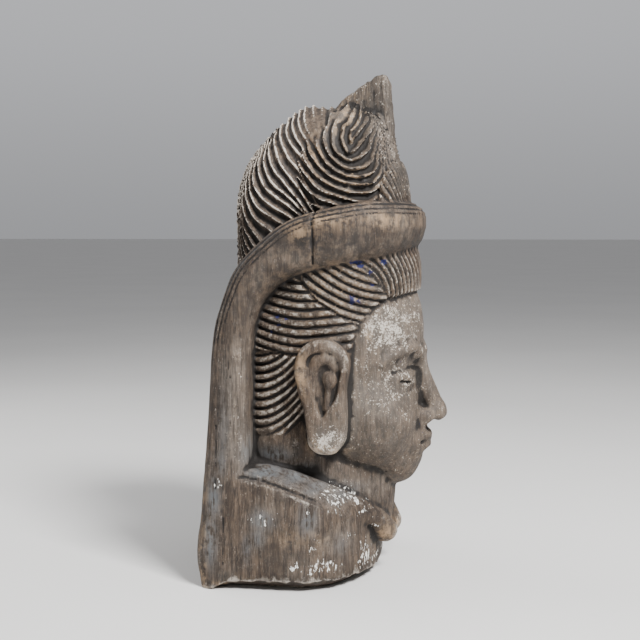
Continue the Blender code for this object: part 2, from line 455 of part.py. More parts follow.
def veil(x, y, z):
    """The rolled band over the brow and the veil that falls from it behind the ears."""
    reach = VEIL_FRONT - 0.30 * np.clip(0.274 - z, 0, 0.03)
    side = plan_oval(x, y, VEIL_HALF_WIDTH, reach, 2.35) - 0.0025 * np.clip((y - 0.010) / 0.065, 0, 1)
    side = side - VEIL_FLARE * np.clip(1 - z / 0.200, 0, 1.2)**1.4
    return meet(side, VEIL(y, z), VEIL_ROUND)


def shoulders(x, y, z):
    """Neck and shoulders with a rolled collar that ends in two lobes in front."""
    ax = np.abs(x)
    plan = plan_oval(x, y, SHOULDER_HALF_WIDTH, SHOULDER_FRONT, 2.2)
    plan = np.maximum(plan - SHOULDER_FLARE * np.clip(1 - z / 0.100, 0, 1.2), y - 0.060)
    top = np.interp(y, COLLAR[:, 0], COLLAR[:, 1])
    slope = (z - top + 0.12 * np.maximum(ax - 0.045, 0)) * 0.88
    d = meet(plan, slope, 0.009)
    side = SHOULDER_HALF_WIDTH - 0.0865
    collar = stroke(ax, y, z, [
        (side + 0.068, 0.030, 0.080, 0.007), (side + 0.066, 0.010, 0.0755, 0.0075), (side + 0.058, -0.016, 0.0635, 0.008),
        (side + 0.045, -0.036, 0.051, 0.0085), (0.030, -0.050, 0.038, 0.0095), (0.0165, -0.0570, 0.027, 0.0105)])
    d = blend(d, collar, 0.005)
    d = d + groove(slope + 0.0050, 0.0018, 0.0022) * ramp(y, -0.024, -0.008)
    d = carve(d, stroke(ax, y, z, [
        (0.0400, -0.0470, 0.0350, 0.0010), (0.0330, -0.0530, 0.0240, 0.0016), (0.0280, -0.0560, 0.0100, 0.0010)]), 0.003)
    neck = egg(x, y, z, (0, -0.004, 0.062), (NECK_HALF_WIDTH, 0.0600, 0.085))
    nape = np.maximum(egg(x, y, z, (0, 0.022, 0.105), (HEAD_HALF_WIDTH - 0.0045, 0.052, 0.060)), y - 0.060)
    return blend(d, blend(neck, nape, 0.010), 0.005)


def underside(x, y, z):
    """Flat foot with a worn, chipped edge that leaves the back corners down."""
    ax = np.abs(x)
    edge = SHOULDER_HALF_WIDTH + SHOULDER_FLARE
    inward = np.minimum(-plan_oval(x, y, edge, SHOULDER_FRONT, 2.2), VEIL_BACK - y)
    kept = ramp(y, 0.055, 0.072) * ramp(ax, edge - 0.0375, edge - 0.0175)
    worn = (FOOT + 0.0022 * unevenness(x, y, 0 * z, 0.020, 8)) * (1 - kept)
    return worn * np.clip(1 - inward / 0.014, 0, 1) - FOOT - z


def carving(x, y, z):
    """The whole carving as one field, negative inside the wood."""
    d = np.minimum(head(x, y, z), side_hair(x, y, z))
    d = blend(d, shoulders(x, y, z), 0.004)
    d = np.minimum(d, topknot(x, y, z))
    d = blend(d, veil(x, y, z), 0.002)
    d = blend(d, ears(x, y, z), 0.002)
    return np.maximum(d, underside(x, y, z))


def sampled(field, step, levels):
    """A field on a regular grid: everywhere on a coarse one, then near the surface on finer ones."""
    size = step * 2**(levels - 1)
    counts = np.ceil((HIGH - LOW) / size).astype(int) + 1
    x, y, z = np.meshgrid(*(LOW[i] + size * np.arange(counts[i]) for i in range(3)), indexing="ij")
    values = field(x.ravel(), y.ravel(), z.ravel()).reshape(counts)
    for _ in range(levels - 1):
        for axis in range(3):
            lines = np.moveaxis(values, axis, 0)
            finer = np.empty((2 * len(lines) - 1,) + lines.shape[1:])
            finer[0::2] = lines
            finer[1::2] = (lines[1:] + lines[:-1]) / 2
            values = np.moveaxis(finer, 0, axis)
        near = np.nonzero(np.abs(values) < 2.2 * size)
        size /= 2
        values[near] = field(*(LOW[i] + size * near[i] for i in range(3)))
    return values


def meshed(values, step, name):
    """Mesh of the surface where the sampled field is zero."""
    band = 3 * step
    grid = openvdb.FloatGrid(band)
    grid.copyFromArray(np.ascontiguousarray(np.clip(values, -band, band), dtype=np.float32))
    points, quads = grid.convertToQuads(isovalue=0)
    points = points * step + LOW + (0, SET_BACK, FOOT)
    mesh = bpy.data.meshes.new(name)
    mesh.vertices.add(len(points))
    mesh.vertices.foreach_set("co", points.astype(np.float32).ravel())
    mesh.loops.add(quads.size)
    mesh.loops.foreach_set("vertex_index", quads.astype(np.int32).ravel())
    mesh.polygons.add(len(quads))
    mesh.polygons.foreach_set("loop_start", np.arange(0, quads.size, 4, dtype=np.int32))
    mesh.update(calc_edges=True)
    mesh.validate()
    return mesh


def keep_outer_shell(mesh):
    """Leave only the largest connected surface: no loose crumbs and no sealed pockets."""
    shape = bmesh.new()
    shape.from_mesh(mesh)
    left = set(shape.verts)
    largest = []
    loose = []
    while left:
        island = [left.pop()]
        for vert in island:
            for edge in vert.link_edges:
                other = edge.other_vert(vert)
                if other in left:
                    left.remove(other)
                    island.append(other)
        if len(island) > len(largest):
            island, largest = largest, island
        loose += island
    bmesh.ops.delete(shape, geom=loose, context="VERTS")
    shape.to_mesh(mesh)
    shape.free()


def wood():
    """Grey-brown weathered wood."""
    material = bpy.data.materials.new("weathered_wood")
    material.use_nodes = True
    shader = material.node_tree.nodes["Principled BSDF"]
    shader.inputs["Base Color"].default_value = (0.22, 0.165, 0.12, 1)
    shader.inputs["Roughness"].default_value = 0.75
    return material


def build():
    """Make the one solid."""
    clear_scene()
    group = bpy.data.collections.new("Carved wooden head")
    bpy.context.scene.collection.children.link(group)
    fine = meshed(sampled(carving, STEP, LEVELS), STEP, "fine")
    piece = bpy.data.objects.new("carved_head", fine)
    group.objects.link(piece)
    keep_outer_shell(fine)
    thin = piece.modifiers.new("Thin", "DECIMATE")
    thin.ratio = TRIANGLES / (2 * len(fine.polygons))
    thin.use_collapse_triangulate = True
    faceted = bpy.data.meshes.new_from_object(piece.evaluated_get(bpy.context.evaluated_depsgraph_get()))
    faceted.name = "carved_head"
    piece.modifiers.clear()
    piece.data = faceted
    bpy.data.meshes.remove(fine)
    faceted.shade_flat()
    faceted.materials.append(wood())


build()
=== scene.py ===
"""Visual model of a carved wooden head with topknot, veil and shoulders, weathered and with traces of paint.

The carving is worked out as one distance field, like the solid that it stands for, with the fine relief of
old wood on top: incised lines, drying cracks, chips, grain and knife marks. Metres, +Z up, and the face looks
along -Y.
"""

import math

import bmesh
import bpy
import numpy as np
import openvdb
from bpy.props import FloatProperty, FloatVectorProperty, IntProperty, PointerProperty
from bpy.types import Operator, Panel, PropertyGroup
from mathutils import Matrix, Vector


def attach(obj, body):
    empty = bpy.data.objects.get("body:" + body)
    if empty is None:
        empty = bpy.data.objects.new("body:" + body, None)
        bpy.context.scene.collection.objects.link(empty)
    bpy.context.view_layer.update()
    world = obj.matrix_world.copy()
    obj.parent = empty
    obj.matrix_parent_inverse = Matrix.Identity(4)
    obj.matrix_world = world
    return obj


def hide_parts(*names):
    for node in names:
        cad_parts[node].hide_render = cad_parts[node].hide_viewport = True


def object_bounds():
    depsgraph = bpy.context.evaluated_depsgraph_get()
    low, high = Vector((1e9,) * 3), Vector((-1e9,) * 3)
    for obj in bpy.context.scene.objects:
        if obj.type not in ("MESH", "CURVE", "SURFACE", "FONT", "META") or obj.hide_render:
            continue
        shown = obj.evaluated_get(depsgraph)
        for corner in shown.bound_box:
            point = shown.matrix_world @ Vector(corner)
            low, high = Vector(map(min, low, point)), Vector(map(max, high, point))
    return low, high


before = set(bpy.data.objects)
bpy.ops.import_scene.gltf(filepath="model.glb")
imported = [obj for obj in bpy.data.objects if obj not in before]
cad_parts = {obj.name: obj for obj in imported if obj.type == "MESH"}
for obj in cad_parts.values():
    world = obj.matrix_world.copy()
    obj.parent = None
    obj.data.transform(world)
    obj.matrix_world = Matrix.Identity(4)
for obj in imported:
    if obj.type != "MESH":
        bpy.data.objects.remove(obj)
CAD_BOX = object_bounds()

bl_info = {
    "name": "Carved wooden head",
    "version": (1, 0, 0),
    "blender": (4, 5, 0),
    "location": "View3D > Sidebar > Carved head",
    "description": "Builds a weathered carved wooden head with topknot, veil and shoulders",
    "category": "Object",
}

NODE = "carved_head"
PIECE = "carved_wood"
FOOT = 0.0070               # rough wood left under the shoulders
SET_BACK = 0.0113           # puts the origin under the middle of the depth
LOW = np.array([-0.102, -0.116, -0.012])    # corners of the space that is searched for the surface
HIGH = np.array([0.102, 0.092, 0.404])
BEHIND = 0.060              # the head and the shoulders end here, inside the veil
COLLAR_FITS = 0.0865        # half width of the shoulders that the collar's path is given for
SUNK = 0.0003               # keeps the relief of the grain inside the solid
FEWEST, MOST = 1000, 200000     # faces that the carving may have
FLOOR_REACH = 40.0
KEY_PLACE = (-0.78, -0.80, 1.32)
BACK_PLACE = (0.20, 0.95, 0.90)
BACK_SHARE = 0.15           # the back lamp's power as a share of the main one's
BACK_SIZE = 0.8
LIT_PLACE = (0.0, 0.0, 0.2)

# Side view outlines as (y, z), measured from a level FOOT above the underside
TOPKNOT_OUTLINE = [
    (0.0500, 0.1750), (0.0660, 0.1850), (0.0725, 0.2050), (0.0735, 0.2300), (0.0740, 0.2600),
    (0.0750, 0.2850), (0.0735, 0.3020), (0.0695, 0.3150), (0.0610, 0.3310), (0.0410, 0.3515),
    (0.0280, 0.3635), (0.0154, 0.3740), (0.0060, 0.3760), (-0.0060, 0.3740), (-0.0200, 0.3760),
    (-0.0400, 0.3700), (-0.0550, 0.3620), (-0.0615, 0.3500), (-0.0635, 0.3400), (-0.0665, 0.3300),
    (-0.0715, 0.3200), (-0.0740, 0.3080), (-0.0755, 0.2930), (-0.0755, 0.2700), (-0.0600, 0.2350)]
SWIRL_OUTLINE = [
    (-0.0132, 0.3680), (-0.0036, 0.3520), (0.0068, 0.3400), (0.0133, 0.3265), (0.0110, 0.3060),
    (0.0004, 0.2880), (-0.0100, 0.2620), (-0.0600, 0.2550), (-0.1000, 0.2700), (-0.1050, 0.3400),
    (-0.0700, 0.3720), (-0.0350, 0.3760)]
CREST_OUTLINE = [
    (-0.0040, 0.3580), (-0.0111, 0.3655), (-0.0205, 0.3760), (-0.0323, 0.3850), (-0.0464, 0.3940),
    (-0.0545, 0.3975), (-0.0575, 0.3910), (-0.0585, 0.3750), (-0.0605, 0.3580), (-0.0600, 0.3380),
    (-0.0300, 0.3300), (-0.0050, 0.3450)]
VEIL_OUTER_EDGE = [
    (-0.1150, 0.2920), (-0.0600, 0.2945), (-0.0270, 0.2905), (0.0080, 0.2810), (0.0310, 0.2660),
    (0.0525, 0.2435), (0.0640, 0.2178), (0.0714, 0.1894), (0.0745, 0.1420), (0.0770, 0.1043),
    (0.0795, 0.0680), (0.0810, 0.0480), (0.0835, 0.0286), (0.0835, 0.0130), (0.0805, -0.0040),
    (0.0780, -0.0300)]
VEIL_INNER_EDGE = [
    (0.0440, -0.0300), (0.0435, 0.0600), (0.0430, 0.1000), (0.0425, 0.1500), (0.0412, 0.1800),
    (0.0370, 0.2030), (0.0275, 0.2210), (0.0080, 0.2355), (-0.0270, 0.2445), (-0.0600, 0.2495),
    (-0.0810, 0.2535), (-0.1150, 0.2580)]
COLLAR_EDGE = [
    (-0.0800, 0.0220), (-0.0680, 0.0330), (-0.0585, 0.0400), (-0.0448, 0.0500), (-0.0279, 0.0636),
    (-0.0052, 0.0758), (0.0194, 0.0855), (0.0410, 0.0905), (0.1000, 0.1000)]
HAIRLINE = [
    (-0.1200, 0.2225), (-0.0900, 0.2220), (-0.0785, 0.2216), (-0.0656, 0.2180), (-0.0545, 0.2130),
    (-0.0437, 0.2004), (-0.0374, 0.1865), (-0.0352, 0.1720), (-0.0300, 0.1500), (-0.0120, 0.1400),
    (0.0067, 0.1220), (0.0208, 0.1085), (0.0374, 0.1060), (0.1000, 0.1040)]
EAR_OUTLINE = [
    (0.0064, 0.1627), (0.0048, 0.1735), (0.0001, 0.1821), (-0.0077, 0.1869), (-0.0139, 0.1879),
    (-0.0217, 0.1871), (-0.0279, 0.1838), (-0.0325, 0.1789), (-0.0352, 0.1728), (-0.0353, 0.1651),
    (-0.0341, 0.1574), (-0.0330, 0.1481), (-0.0332, 0.1381), (-0.0334, 0.1280), (-0.0330, 0.1172),
    (-0.0311, 0.1071), (-0.0256, 0.0991), (-0.0178, 0.0965), (-0.0092, 0.0982), (-0.0033, 0.1046),
    (-0.0018, 0.1139), (-0.0010, 0.1256), (0.0013, 0.1372), (0.0045, 0.1488)]
EAR_HOLLOW = [
    (-0.0033, 0.1629), (-0.0034, 0.1706), (-0.0053, 0.1745), (-0.0089, 0.1769), (-0.0139, 0.1783),
    (-0.0194, 0.1784), (-0.0240, 0.1768), (-0.0271, 0.1730), (-0.0289, 0.1673), (-0.0287, 0.1611),
    (-0.0275, 0.1549), (-0.0268, 0.1487), (-0.0248, 0.1417), (-0.0217, 0.1370), (-0.0182, 0.1330),
    (-0.0151, 0.1275), (-0.0124, 0.1337), (-0.0096, 0.1421), (-0.0065, 0.1506), (-0.0042, 0.1567)]
# Ridges of the carved strands in side view, each one from its upper end
SWIRL_RIDGES = [
    [(-0.0325, 0.3703), (-0.0321, 0.3658), (-0.0309, 0.3610), (-0.0294, 0.3562), (-0.0264, 0.3528),
     (-0.0254, 0.3478), (-0.0248, 0.3439), (-0.0259, 0.3399), (-0.0276, 0.3363), (-0.0302, 0.3324),
     (-0.0329, 0.3316), (-0.0366, 0.3342), (-0.0396, 0.3388), (-0.0425, 0.3428), (-0.0454, 0.3480),
     (-0.0495, 0.3528), (-0.0543, 0.3576)],
    [(-0.0265, 0.3715), (-0.0238, 0.3665), (-0.0211, 0.3611), (-0.0183, 0.3556), (-0.0175, 0.3509),
     (-0.0176, 0.3455), (-0.0178, 0.3402), (-0.0191, 0.3356), (-0.0220, 0.3316), (-0.0260, 0.3286),
     (-0.0299, 0.3263), (-0.0336, 0.3257), (-0.0369, 0.3270), (-0.0407, 0.3290), (-0.0443, 0.3329),
     (-0.0463, 0.3369), (-0.0482, 0.3428), (-0.0511, 0.3481), (-0.0541, 0.3521), (-0.0577, 0.3549)],
    [(-0.0132, 0.3550), (-0.0114, 0.3502), (-0.0103, 0.3456), (-0.0110, 0.3410), (-0.0133, 0.3350),
     (-0.0170, 0.3291), (-0.0210, 0.3251), (-0.0250, 0.3218), (-0.0302, 0.3193), (-0.0359, 0.3189),
     (-0.0416, 0.3199), (-0.0453, 0.3218), (-0.0483, 0.3258), (-0.0505, 0.3323), (-0.0528, 0.3389),
     (-0.0556, 0.3442), (-0.0598, 0.3496), (-0.0619, 0.3523)],
    [(-0.0068, 0.3497), (-0.0049, 0.3433), (-0.0059, 0.3371), (-0.0090, 0.3311), (-0.0133, 0.3245),
     (-0.0173, 0.3206), (-0.0213, 0.3173), (-0.0265, 0.3147), (-0.0318, 0.3127), (-0.0388, 0.3124),
     (-0.0444, 0.3134), (-0.0486, 0.3154), (-0.0517, 0.3193), (-0.0531, 0.3245), (-0.0543, 0.3311),
     (-0.0563, 0.3363), (-0.0593, 0.3416), (-0.0622, 0.3443)],
    [(0.0002, 0.3482), (0.0029, 0.3410), (0.0011, 0.3338), (-0.0033, 0.3279), (-0.0061, 0.3239),
     (-0.0095, 0.3200), (-0.0143, 0.3154), (-0.0189, 0.3122), (-0.0242, 0.3096), (-0.0300, 0.3079),
     (-0.0363, 0.3068), (-0.0427, 0.3066), (-0.0489, 0.3078), (-0.0531, 0.3116), (-0.0555, 0.3161),
     (-0.0565, 0.3220), (-0.0579, 0.3292), (-0.0606, 0.3351), (-0.0625, 0.3371)],
    [(0.0076, 0.3395), (0.0067, 0.3331), (0.0044, 0.3276), (0.0018, 0.3240), (-0.0017, 0.3187),
     (-0.0065, 0.3136), (-0.0119, 0.3096), (-0.0172, 0.3065), (-0.0224, 0.3038), (-0.0282, 0.3018),
     (-0.0340, 0.3001), (-0.0403, 0.2994), (-0.0453, 0.2999), (-0.0497, 0.3017), (-0.0541, 0.3056),
     (-0.0576, 0.3119), (-0.0596, 0.3197), (-0.0623, 0.3291)],
    [(0.0119, 0.3324), (0.0094, 0.3253), (0.0070, 0.3202), (0.0034, 0.3156), (-0.0014, 0.3103),
     (-0.0068, 0.3049), (-0.0128, 0.3010), (-0.0200, 0.2986), (-0.0264, 0.2964), (-0.0322, 0.2948),
     (-0.0379, 0.2936), (-0.0432, 0.2934), (-0.0491, 0.2948), (-0.0550, 0.2987), (-0.0600, 0.3057)]]
FLUTE_RIDGES = [
    [(0.0032, 0.3704), (0.0009, 0.3653), (-0.0021, 0.3563), (-0.0052, 0.3493)],
    [(0.0093, 0.3684), (0.0077, 0.3613), (0.0049, 0.3544), (0.0009, 0.3478)],
    [(0.0131, 0.3652), (0.0126, 0.3601), (0.0102, 0.3538), (0.0069, 0.3483), (0.0031, 0.3428)],
    [(0.0176, 0.3618), (0.0177, 0.3573), (0.0145, 0.3498), (0.0113, 0.3437), (0.0067, 0.3374)],
    [(0.0216, 0.3582), (0.0216, 0.3526), (0.0188, 0.3451), (0.0150, 0.3390), (0.0113, 0.3349),
     (0.0070, 0.3303)],
    [(0.0273, 0.3521), (0.0266, 0.3480), (0.0232, 0.3399), (0.0193, 0.3331), (0.0163, 0.3278),
     (0.0127, 0.3238), (0.0080, 0.3184)],
    [(0.0313, 0.3474), (0.0310, 0.3427), (0.0276, 0.3346), (0.0243, 0.3259), (0.0199, 0.3192),
     (0.0156, 0.3140), (0.0106, 0.3080), (0.0050, 0.3012)],
    [(0.0358, 0.3434), (0.0361, 0.3374), (0.0327, 0.3280), (0.0295, 0.3213), (0.0251, 0.3153),
     (0.0208, 0.3109), (0.0168, 0.3058), (0.0126, 0.3009), (0.0055, 0.2927)],
    [(0.0410, 0.3369), (0.0397, 0.3295), (0.0357, 0.3202), (0.0311, 0.3115), (0.0257, 0.3054),
     (0.0211, 0.3022), (0.0165, 0.2985), (0.0124, 0.2950), (0.0075, 0.2898), (-0.0000, 0.2829)],
    [(0.0462, 0.3290), (0.0435, 0.3203), (0.0388, 0.3116), (0.0343, 0.3050), (0.0286, 0.3002),
     (0.0222, 0.2954), (0.0158, 0.2910), (0.0110, 0.2870), (0.0046, 0.2822)],
    [(0.0510, 0.3238), (0.0495, 0.3152), (0.0458, 0.3073), (0.0417, 0.3020), (0.0369, 0.2968),
     (0.0314, 0.2924), (0.0256, 0.2881), (0.0191, 0.2846), (0.0126, 0.2810)],
    [(0.0552, 0.3169), (0.0529, 0.3097), (0.0494, 0.3007), (0.0453, 0.2944), (0.0407, 0.2890),
     (0.0359, 0.2856), (0.0310, 0.2827), (0.0252, 0.2789), (0.0190, 0.2756)],
    [(0.0579, 0.3090), (0.0553, 0.2998), (0.0515, 0.2926), (0.0479, 0.2859), (0.0444, 0.2814),
     (0.0398, 0.2776), (0.0349, 0.2743), (0.0297, 0.2709)],
    [(0.0609, 0.2988), (0.0584, 0.2908), (0.0556, 0.2848), (0.0522, 0.2789), (0.0482, 0.2737),
     (0.0445, 0.2690), (0.0398, 0.2639)],
    [(0.0629, 0.2908), (0.0604, 0.2821), (0.0576, 0.2757), (0.0542, 0.2703), (0.0502, 0.2656),
     (0.0463, 0.2603)],
    [(0.0633, 0.2813), (0.0600, 0.2716), (0.0570, 0.2652), (0.0529, 0.2595), (0.0485, 0.2539)],
    [(0.0629, 0.2693), (0.0593, 0.2600), (0.0562, 0.2542), (0.0518, 0.2485)],
    [(0.0625, 0.2574), (0.0586, 0.2495), (0.0551, 0.2436)]]

# Patches of finish seen from the side, as (y, z, reach in y, reach in z, strength)
GROUND_PATCHES = [
    (-0.062, 0.196, 0.020, 0.018, 0.45), (-0.066, 0.150, 0.014, 0.024, 0.15),
    (-0.018, 0.110, 0.014, 0.014, 0.85), (0.052, 0.150, 0.010, 0.050, 0.30),
    (0.050, 0.105, 0.012, 0.030, 0.35), (-0.018, 0.070, 0.020, 0.006, 0.25),
    (0.010, 0.030, 0.050, 0.030, 0.08)]
FLAKE_PATCHES = [
    (0.0301, 0.0487, 0.0068, 0.0046, 0.95), (0.0222, 0.0530, 0.0038, 0.0030, 0.60),
    (-0.0057, 0.0537, 0.0023, 0.0023, 0.70), (-0.0266, 0.0621, 0.0070, 0.0070, 0.75),
    (-0.0200, 0.0677, 0.0062, 0.0039, 0.70), (-0.0317, 0.0620, 0.0055, 0.0031, 0.90),
    (-0.0383, 0.0566, 0.0055, 0.0031, 0.90), (-0.0443, 0.0493, 0.0048, 0.0032, 0.80),
    (-0.0109, 0.0289, 0.0046, 0.0038, 0.75), (0.0022, 0.0129, 0.0053, 0.0030, 0.70),
    (-0.0111, 0.0128, 0.0061, 0.0053, 0.95), (-0.0221, 0.0122, 0.0061, 0.0053, 0.95),
    (-0.0445, 0.0148, 0.0040, 0.0080, 0.95), (-0.0504, 0.0077, 0.0025, 0.0033, 0.90),
    (-0.0338, 0.0331, 0.0039, 0.0023, 0.70), (0.0640, 0.0735, 0.0038, 0.0053, 0.65),
    (0.0464, 0.0351, 0.0015, 0.0015, 0.60), (0.0187, 0.0246, 0.0015, 0.0023, 0.60),
    (-0.0520, 0.0379, 0.0032, 0.0048, 0.70), (-0.0200, 0.1080, 0.0080, 0.0070, 0.50)]
STAIN_PATCHES = [
    (0.0681, 0.0639, 0.0053, 0.0167, 1.0), (0.0705, 0.0308, 0.0053, 0.0197, 1.0),
    (0.0620, 0.0920, 0.0046, 0.0107, 0.6), (0.0299, 0.0482, 0.0091, 0.0068, 1.0),
    (0.0329, 0.0349, 0.0053, 0.0076, 0.8), (-0.0059, 0.0493, 0.0069, 0.0122, 0.8),
    (0.0417, 0.0259, 0.0038, 0.0106, 0.6), (0.0291, 0.0837, 0.0155, 0.0054, 1.0),
    (0.0043, 0.0806, 0.0140, 0.0062, 0.9), (-0.0101, 0.0716, 0.0093, 0.0047, 0.8),
    (-0.0298, 0.0652, 0.0126, 0.0063, 0.6), (0.0288, 0.0945, 0.0172, 0.0055, 0.8),
    (-0.0291, 0.0279, 0.0062, 0.0092, 0.4), (0.0443, 0.0994, 0.0038, 0.0123, 0.7),
    (0.0600, 0.1200, 0.0050, 0.0300, 0.4)]
WORN_PATCHES = [
    (0.0024, 0.1628, 0.0054, 0.0169, 1.0), (-0.0080, 0.1010, 0.0080, 0.0055, 0.9),
    (-0.0257, 0.1005, 0.0061, 0.0050, 0.7), (-0.0298, 0.3561, 0.0110, 0.0236, 0.8),
    (-0.0338, 0.3117, 0.0204, 0.0110, 1.0), (-0.0091, 0.3256, 0.0110, 0.0157, 0.8),
    (-0.0150, 0.2790, 0.0250, 0.0050, 0.8), (-0.0613, 0.2790, 0.0157, 0.0050, 0.9),
    (0.0013, 0.2702, 0.0107, 0.0054, 0.6), (0.0760, 0.0264, 0.0040, 0.0380, 1.0),
    (0.0664, -0.0045, 0.0076, 0.0045, 0.9), (-0.0485, 0.1893, 0.0024, 0.0032, 1.0),
    (-0.0594, 0.0241, 0.0080, 0.0100, 1.0), (-0.0002, 0.0341, 0.0228, 0.0061, 0.35),
    (-0.0199, 0.2256, 0.0311, 0.0233, 0.35)]
PAINT_PATCHES = [
    (-0.0596, 0.2467, 0.0028, 0.0024, 1.0), (-0.0361, 0.2177, 0.0023, 0.0039, 1.0),
    (-0.0397, 0.2470, 0.0055, 0.0014, 0.9), (-0.0428, 0.2440, 0.0031, 0.0024, 0.9),
    (-0.0499, 0.2392, 0.0020, 0.0020, 0.8), (-0.0508, 0.2291, 0.0020, 0.0020, 0.8),
    (-0.0413, 0.2161, 0.0016, 0.0024, 0.8), (0.0220, 0.2042, 0.0017, 0.0014, 0.9),
    (0.0148, 0.2027, 0.0017, 0.0014, 0.8), (0.0204, 0.1979, 0.0020, 0.0012, 0.9),
    (0.0276, 0.1924, 0.0016, 0.0014, 0.8)]
# Patches of painted shade, with darker wood: under the band, on the veil, jaw, cheek and neck, over the
# collar, along the foot and round the top of the swirl
SHADE_AND_DARK_PATCHES = [
    (-0.0200, 0.2620, 0.0700, 0.0140, 0.95), (-0.0780, 0.2640, 0.0220, 0.0100, 0.8),
    (0.0400, 0.2350, 0.0160, 0.0240, 0.6), (0.0620, 0.1500, 0.0060, 0.0700, 0.5),
    (-0.0100, 0.0000, 0.0700, 0.0060, 0.7), (0.0600, 0.0000, 0.0200, 0.0100, 0.6),
    (-0.0500, 0.0480, 0.0100, 0.0070, 0.5), (-0.0450, 0.3680, 0.0200, 0.0200, 0.7),
    (-0.0720, 0.3150, 0.0120, 0.0300, 0.8), (0.0100, 0.2250, 0.0450, 0.0330, 0.75),
    (-0.0600, 0.2400, 0.0200, 0.0120, 0.6), (0.0200, 0.0960, 0.0260, 0.0080, 0.6),
    (0.0100, 0.0200, 0.0300, 0.0200, 0.3), (-0.0500, 0.1000, 0.0300, 0.0250, 0.4),
    (-0.0600, 0.1400, 0.0300, 0.0350, 0.25)]

# Drying cracks as (place across, lowest, highest, half width, depth)
BACK_CRACKS = [(0.012, 0.020, 0.190, 0.0012, 0.0050), (-0.038, -0.010, 0.110, 0.0010, 0.0036),
               (0.055, 0.090, 0.240, 0.0008, 0.0030)]
SIDE_CRACKS = [(0.0600, -0.010, 0.075, 0.0008, 0.0020), (0.0560, 0.110, 0.200, 0.0006, 0.0012),
               (0.0665, 0.060, 0.160, 0.0006, 0.0012)]
# Cracks across the band on the head's right side, as (y, wander, half width, depth, farthest x, lowest z)
BAND_CRACKS = [(-0.0078, 0.0008, 0.0010, 0.0040, -0.05, 0.243),
               (-0.0850, 0.0006, 0.0009, 0.0020, -0.02, 0.262)]
# Lines cut along the veil's rim, as (distance from the rim, half width, depth)
RIM_LINES = [(0.0026, 0.0013, 0.0013), (0.0060, 0.0013, 0.0013), (0.0096, 0.0012, 0.0008)]


def size(name, text, value):
    """A length that the user can change."""
    return FloatProperty(name=name, description=text, default=value, min=0.0001, max=0.5, precision=4,
                         unit="LENGTH")


def share(name, text, value):
    """An amount from none to full."""
    return FloatProperty(name=name, description=text, default=value, min=0.0, max=2.0, subtype="FACTOR")


def tint(name, text, value):
    """A colour that the user can change."""
    return FloatVectorProperty(name=name, description=text, default=value, size=3, min=0.0, max=1.0,
                               subtype="COLOR")


class HeadSizes(PropertyGroup):
    """Sizes of the carving."""
    veil_half_width: size("Veil half width", "Half the width of the veil at the band", 0.0835)
    veil_front: size("Band reach", "Reach of the band in front of its widest point", 0.0975)
    veil_round: size("Veil rounding", "Rounding of the veil's edges", 0.0120)
    veil_flare: size("Veil flare", "How far the veil spreads on each side at the foot", 0.0080)
    shoulder_half_width: size("Shoulder half width", "Half the width of the shoulders", 0.0865)
    shoulder_front: size("Shoulder reach", "Reach of the shoulders in front of their widest point", 0.0580)
    shoulder_flare: size("Shoulder flare", "How far the shoulders draw in at the foot", 0.0060)
    topknot_half_width: size("Topknot half width", "Half the width of the hair piled above the band", 0.0600)
    neck_half_width: size("Neck half width", "Half the width of the neck", 0.0520)
    head_half_width: size("Head half width", "Half the width of the head", 0.0670)
    hair_half_width: size("Hair half width", "Half the width of the hair beside the face", 0.0715)
    ear_face: size("Ear face", "Distance of the ear's outer face from the middle", 0.0795)
    ear_depth: size("Ear depth", "Depth of the hollow in the ear", 0.0042)
    ear_round: size("Ear rounding", "Rounding of the ear's rim", 0.0055)
    crest_half_width: size("Crest half width", "Half the width of the broken crest", 0.0175)
    swirl_proud: size("Swirl proud", "How far the swirl stands out from the hair behind it", 0.0045)
    top_depth: size("Flute depth", "Depth of the flutes at the back of the topknot", 0.0036)
    swirl_depth: size("Swirl depth", "Depth between the strands of the swirl", 0.0046)
    fan_pitch: size("Fan pitch", "Distance between the fine strands in front", 0.0052)
    fan_depth: size("Fan depth", "Depth between the fine strands in front", 0.0026)
    parting_pitch: size("Parting pitch", "Distance between the strands over the brow", 0.0058)
    parting_depth: size("Parting depth", "Depth between the strands over the brow", 0.0028)
    temple_pitch: size("Temple pitch", "Distance between the strands at the temple", 0.0061)
    temple_depth: size("Temple depth", "Depth between the strands at the temple", 0.0030)
    side_pitch: size("Side pitch", "Distance between the strands over the ear", 0.0069)
    side_depth: size("Side depth", "Depth between the strands over the ear", 0.0033)
    nape_pitch: size("Nape pitch", "Distance between the strands behind the ear", 0.0072)
    nape_depth: size("Nape depth", "Depth between the strands behind the ear", 0.0035)
    grain_relief: size("Grain relief", "Height of the ridges of grain", 0.00022)
    step: size("Mesh step", "Spacing of the grid that the surface is read from", 0.00125)
    triangles: IntProperty(name="Triangles", description="Number of triangles that are kept", default=198000,
                           min=20000, max=199000)


class HeadFinish(PropertyGroup):
    """Colours of the wood, what is left on it, and the painted shade in its grooves and under the band."""
    heartwood: tint("Wood", "Brown of the bare wood", (0.118, 0.082, 0.056))
    shade_wood: tint("Dark wood", "Darker streaks of the wood", (0.030, 0.020, 0.014))
    bleached: tint("Bleached wood", "Grey of the weathered ridges", (0.590, 0.525, 0.450))
    worn_wood: tint("Worn wood", "Tan of the rubbed edges", (0.430, 0.290, 0.170))
    # dark colour for the painted shade in the grooves and under the band, and for the pits and drying checks
    dirt_and_shade: tint("Dirt", "Dark dirt in the grooves", (0.010, 0.008, 0.007))
    ground: tint("Pale ground", "Remains of the pale ground on the face", (0.560, 0.515, 0.450))
    flakes: tint("White flakes", "Flakes of white paint", (0.800, 0.780, 0.730))
    stain: tint("Stain", "Blue-grey stains", (0.115, 0.126, 0.134))
    paint: tint("Blue paint", "Traces of blue paint in the hair", (0.007, 0.011, 0.070))
    # strength of the painted shade in the grooves
    hollow_shade_amount: share("Dirt amount", "How much dirt the grooves hold", 1.0)
    ground_amount: share("Ground amount", "How much of the pale ground is left", 1.0)


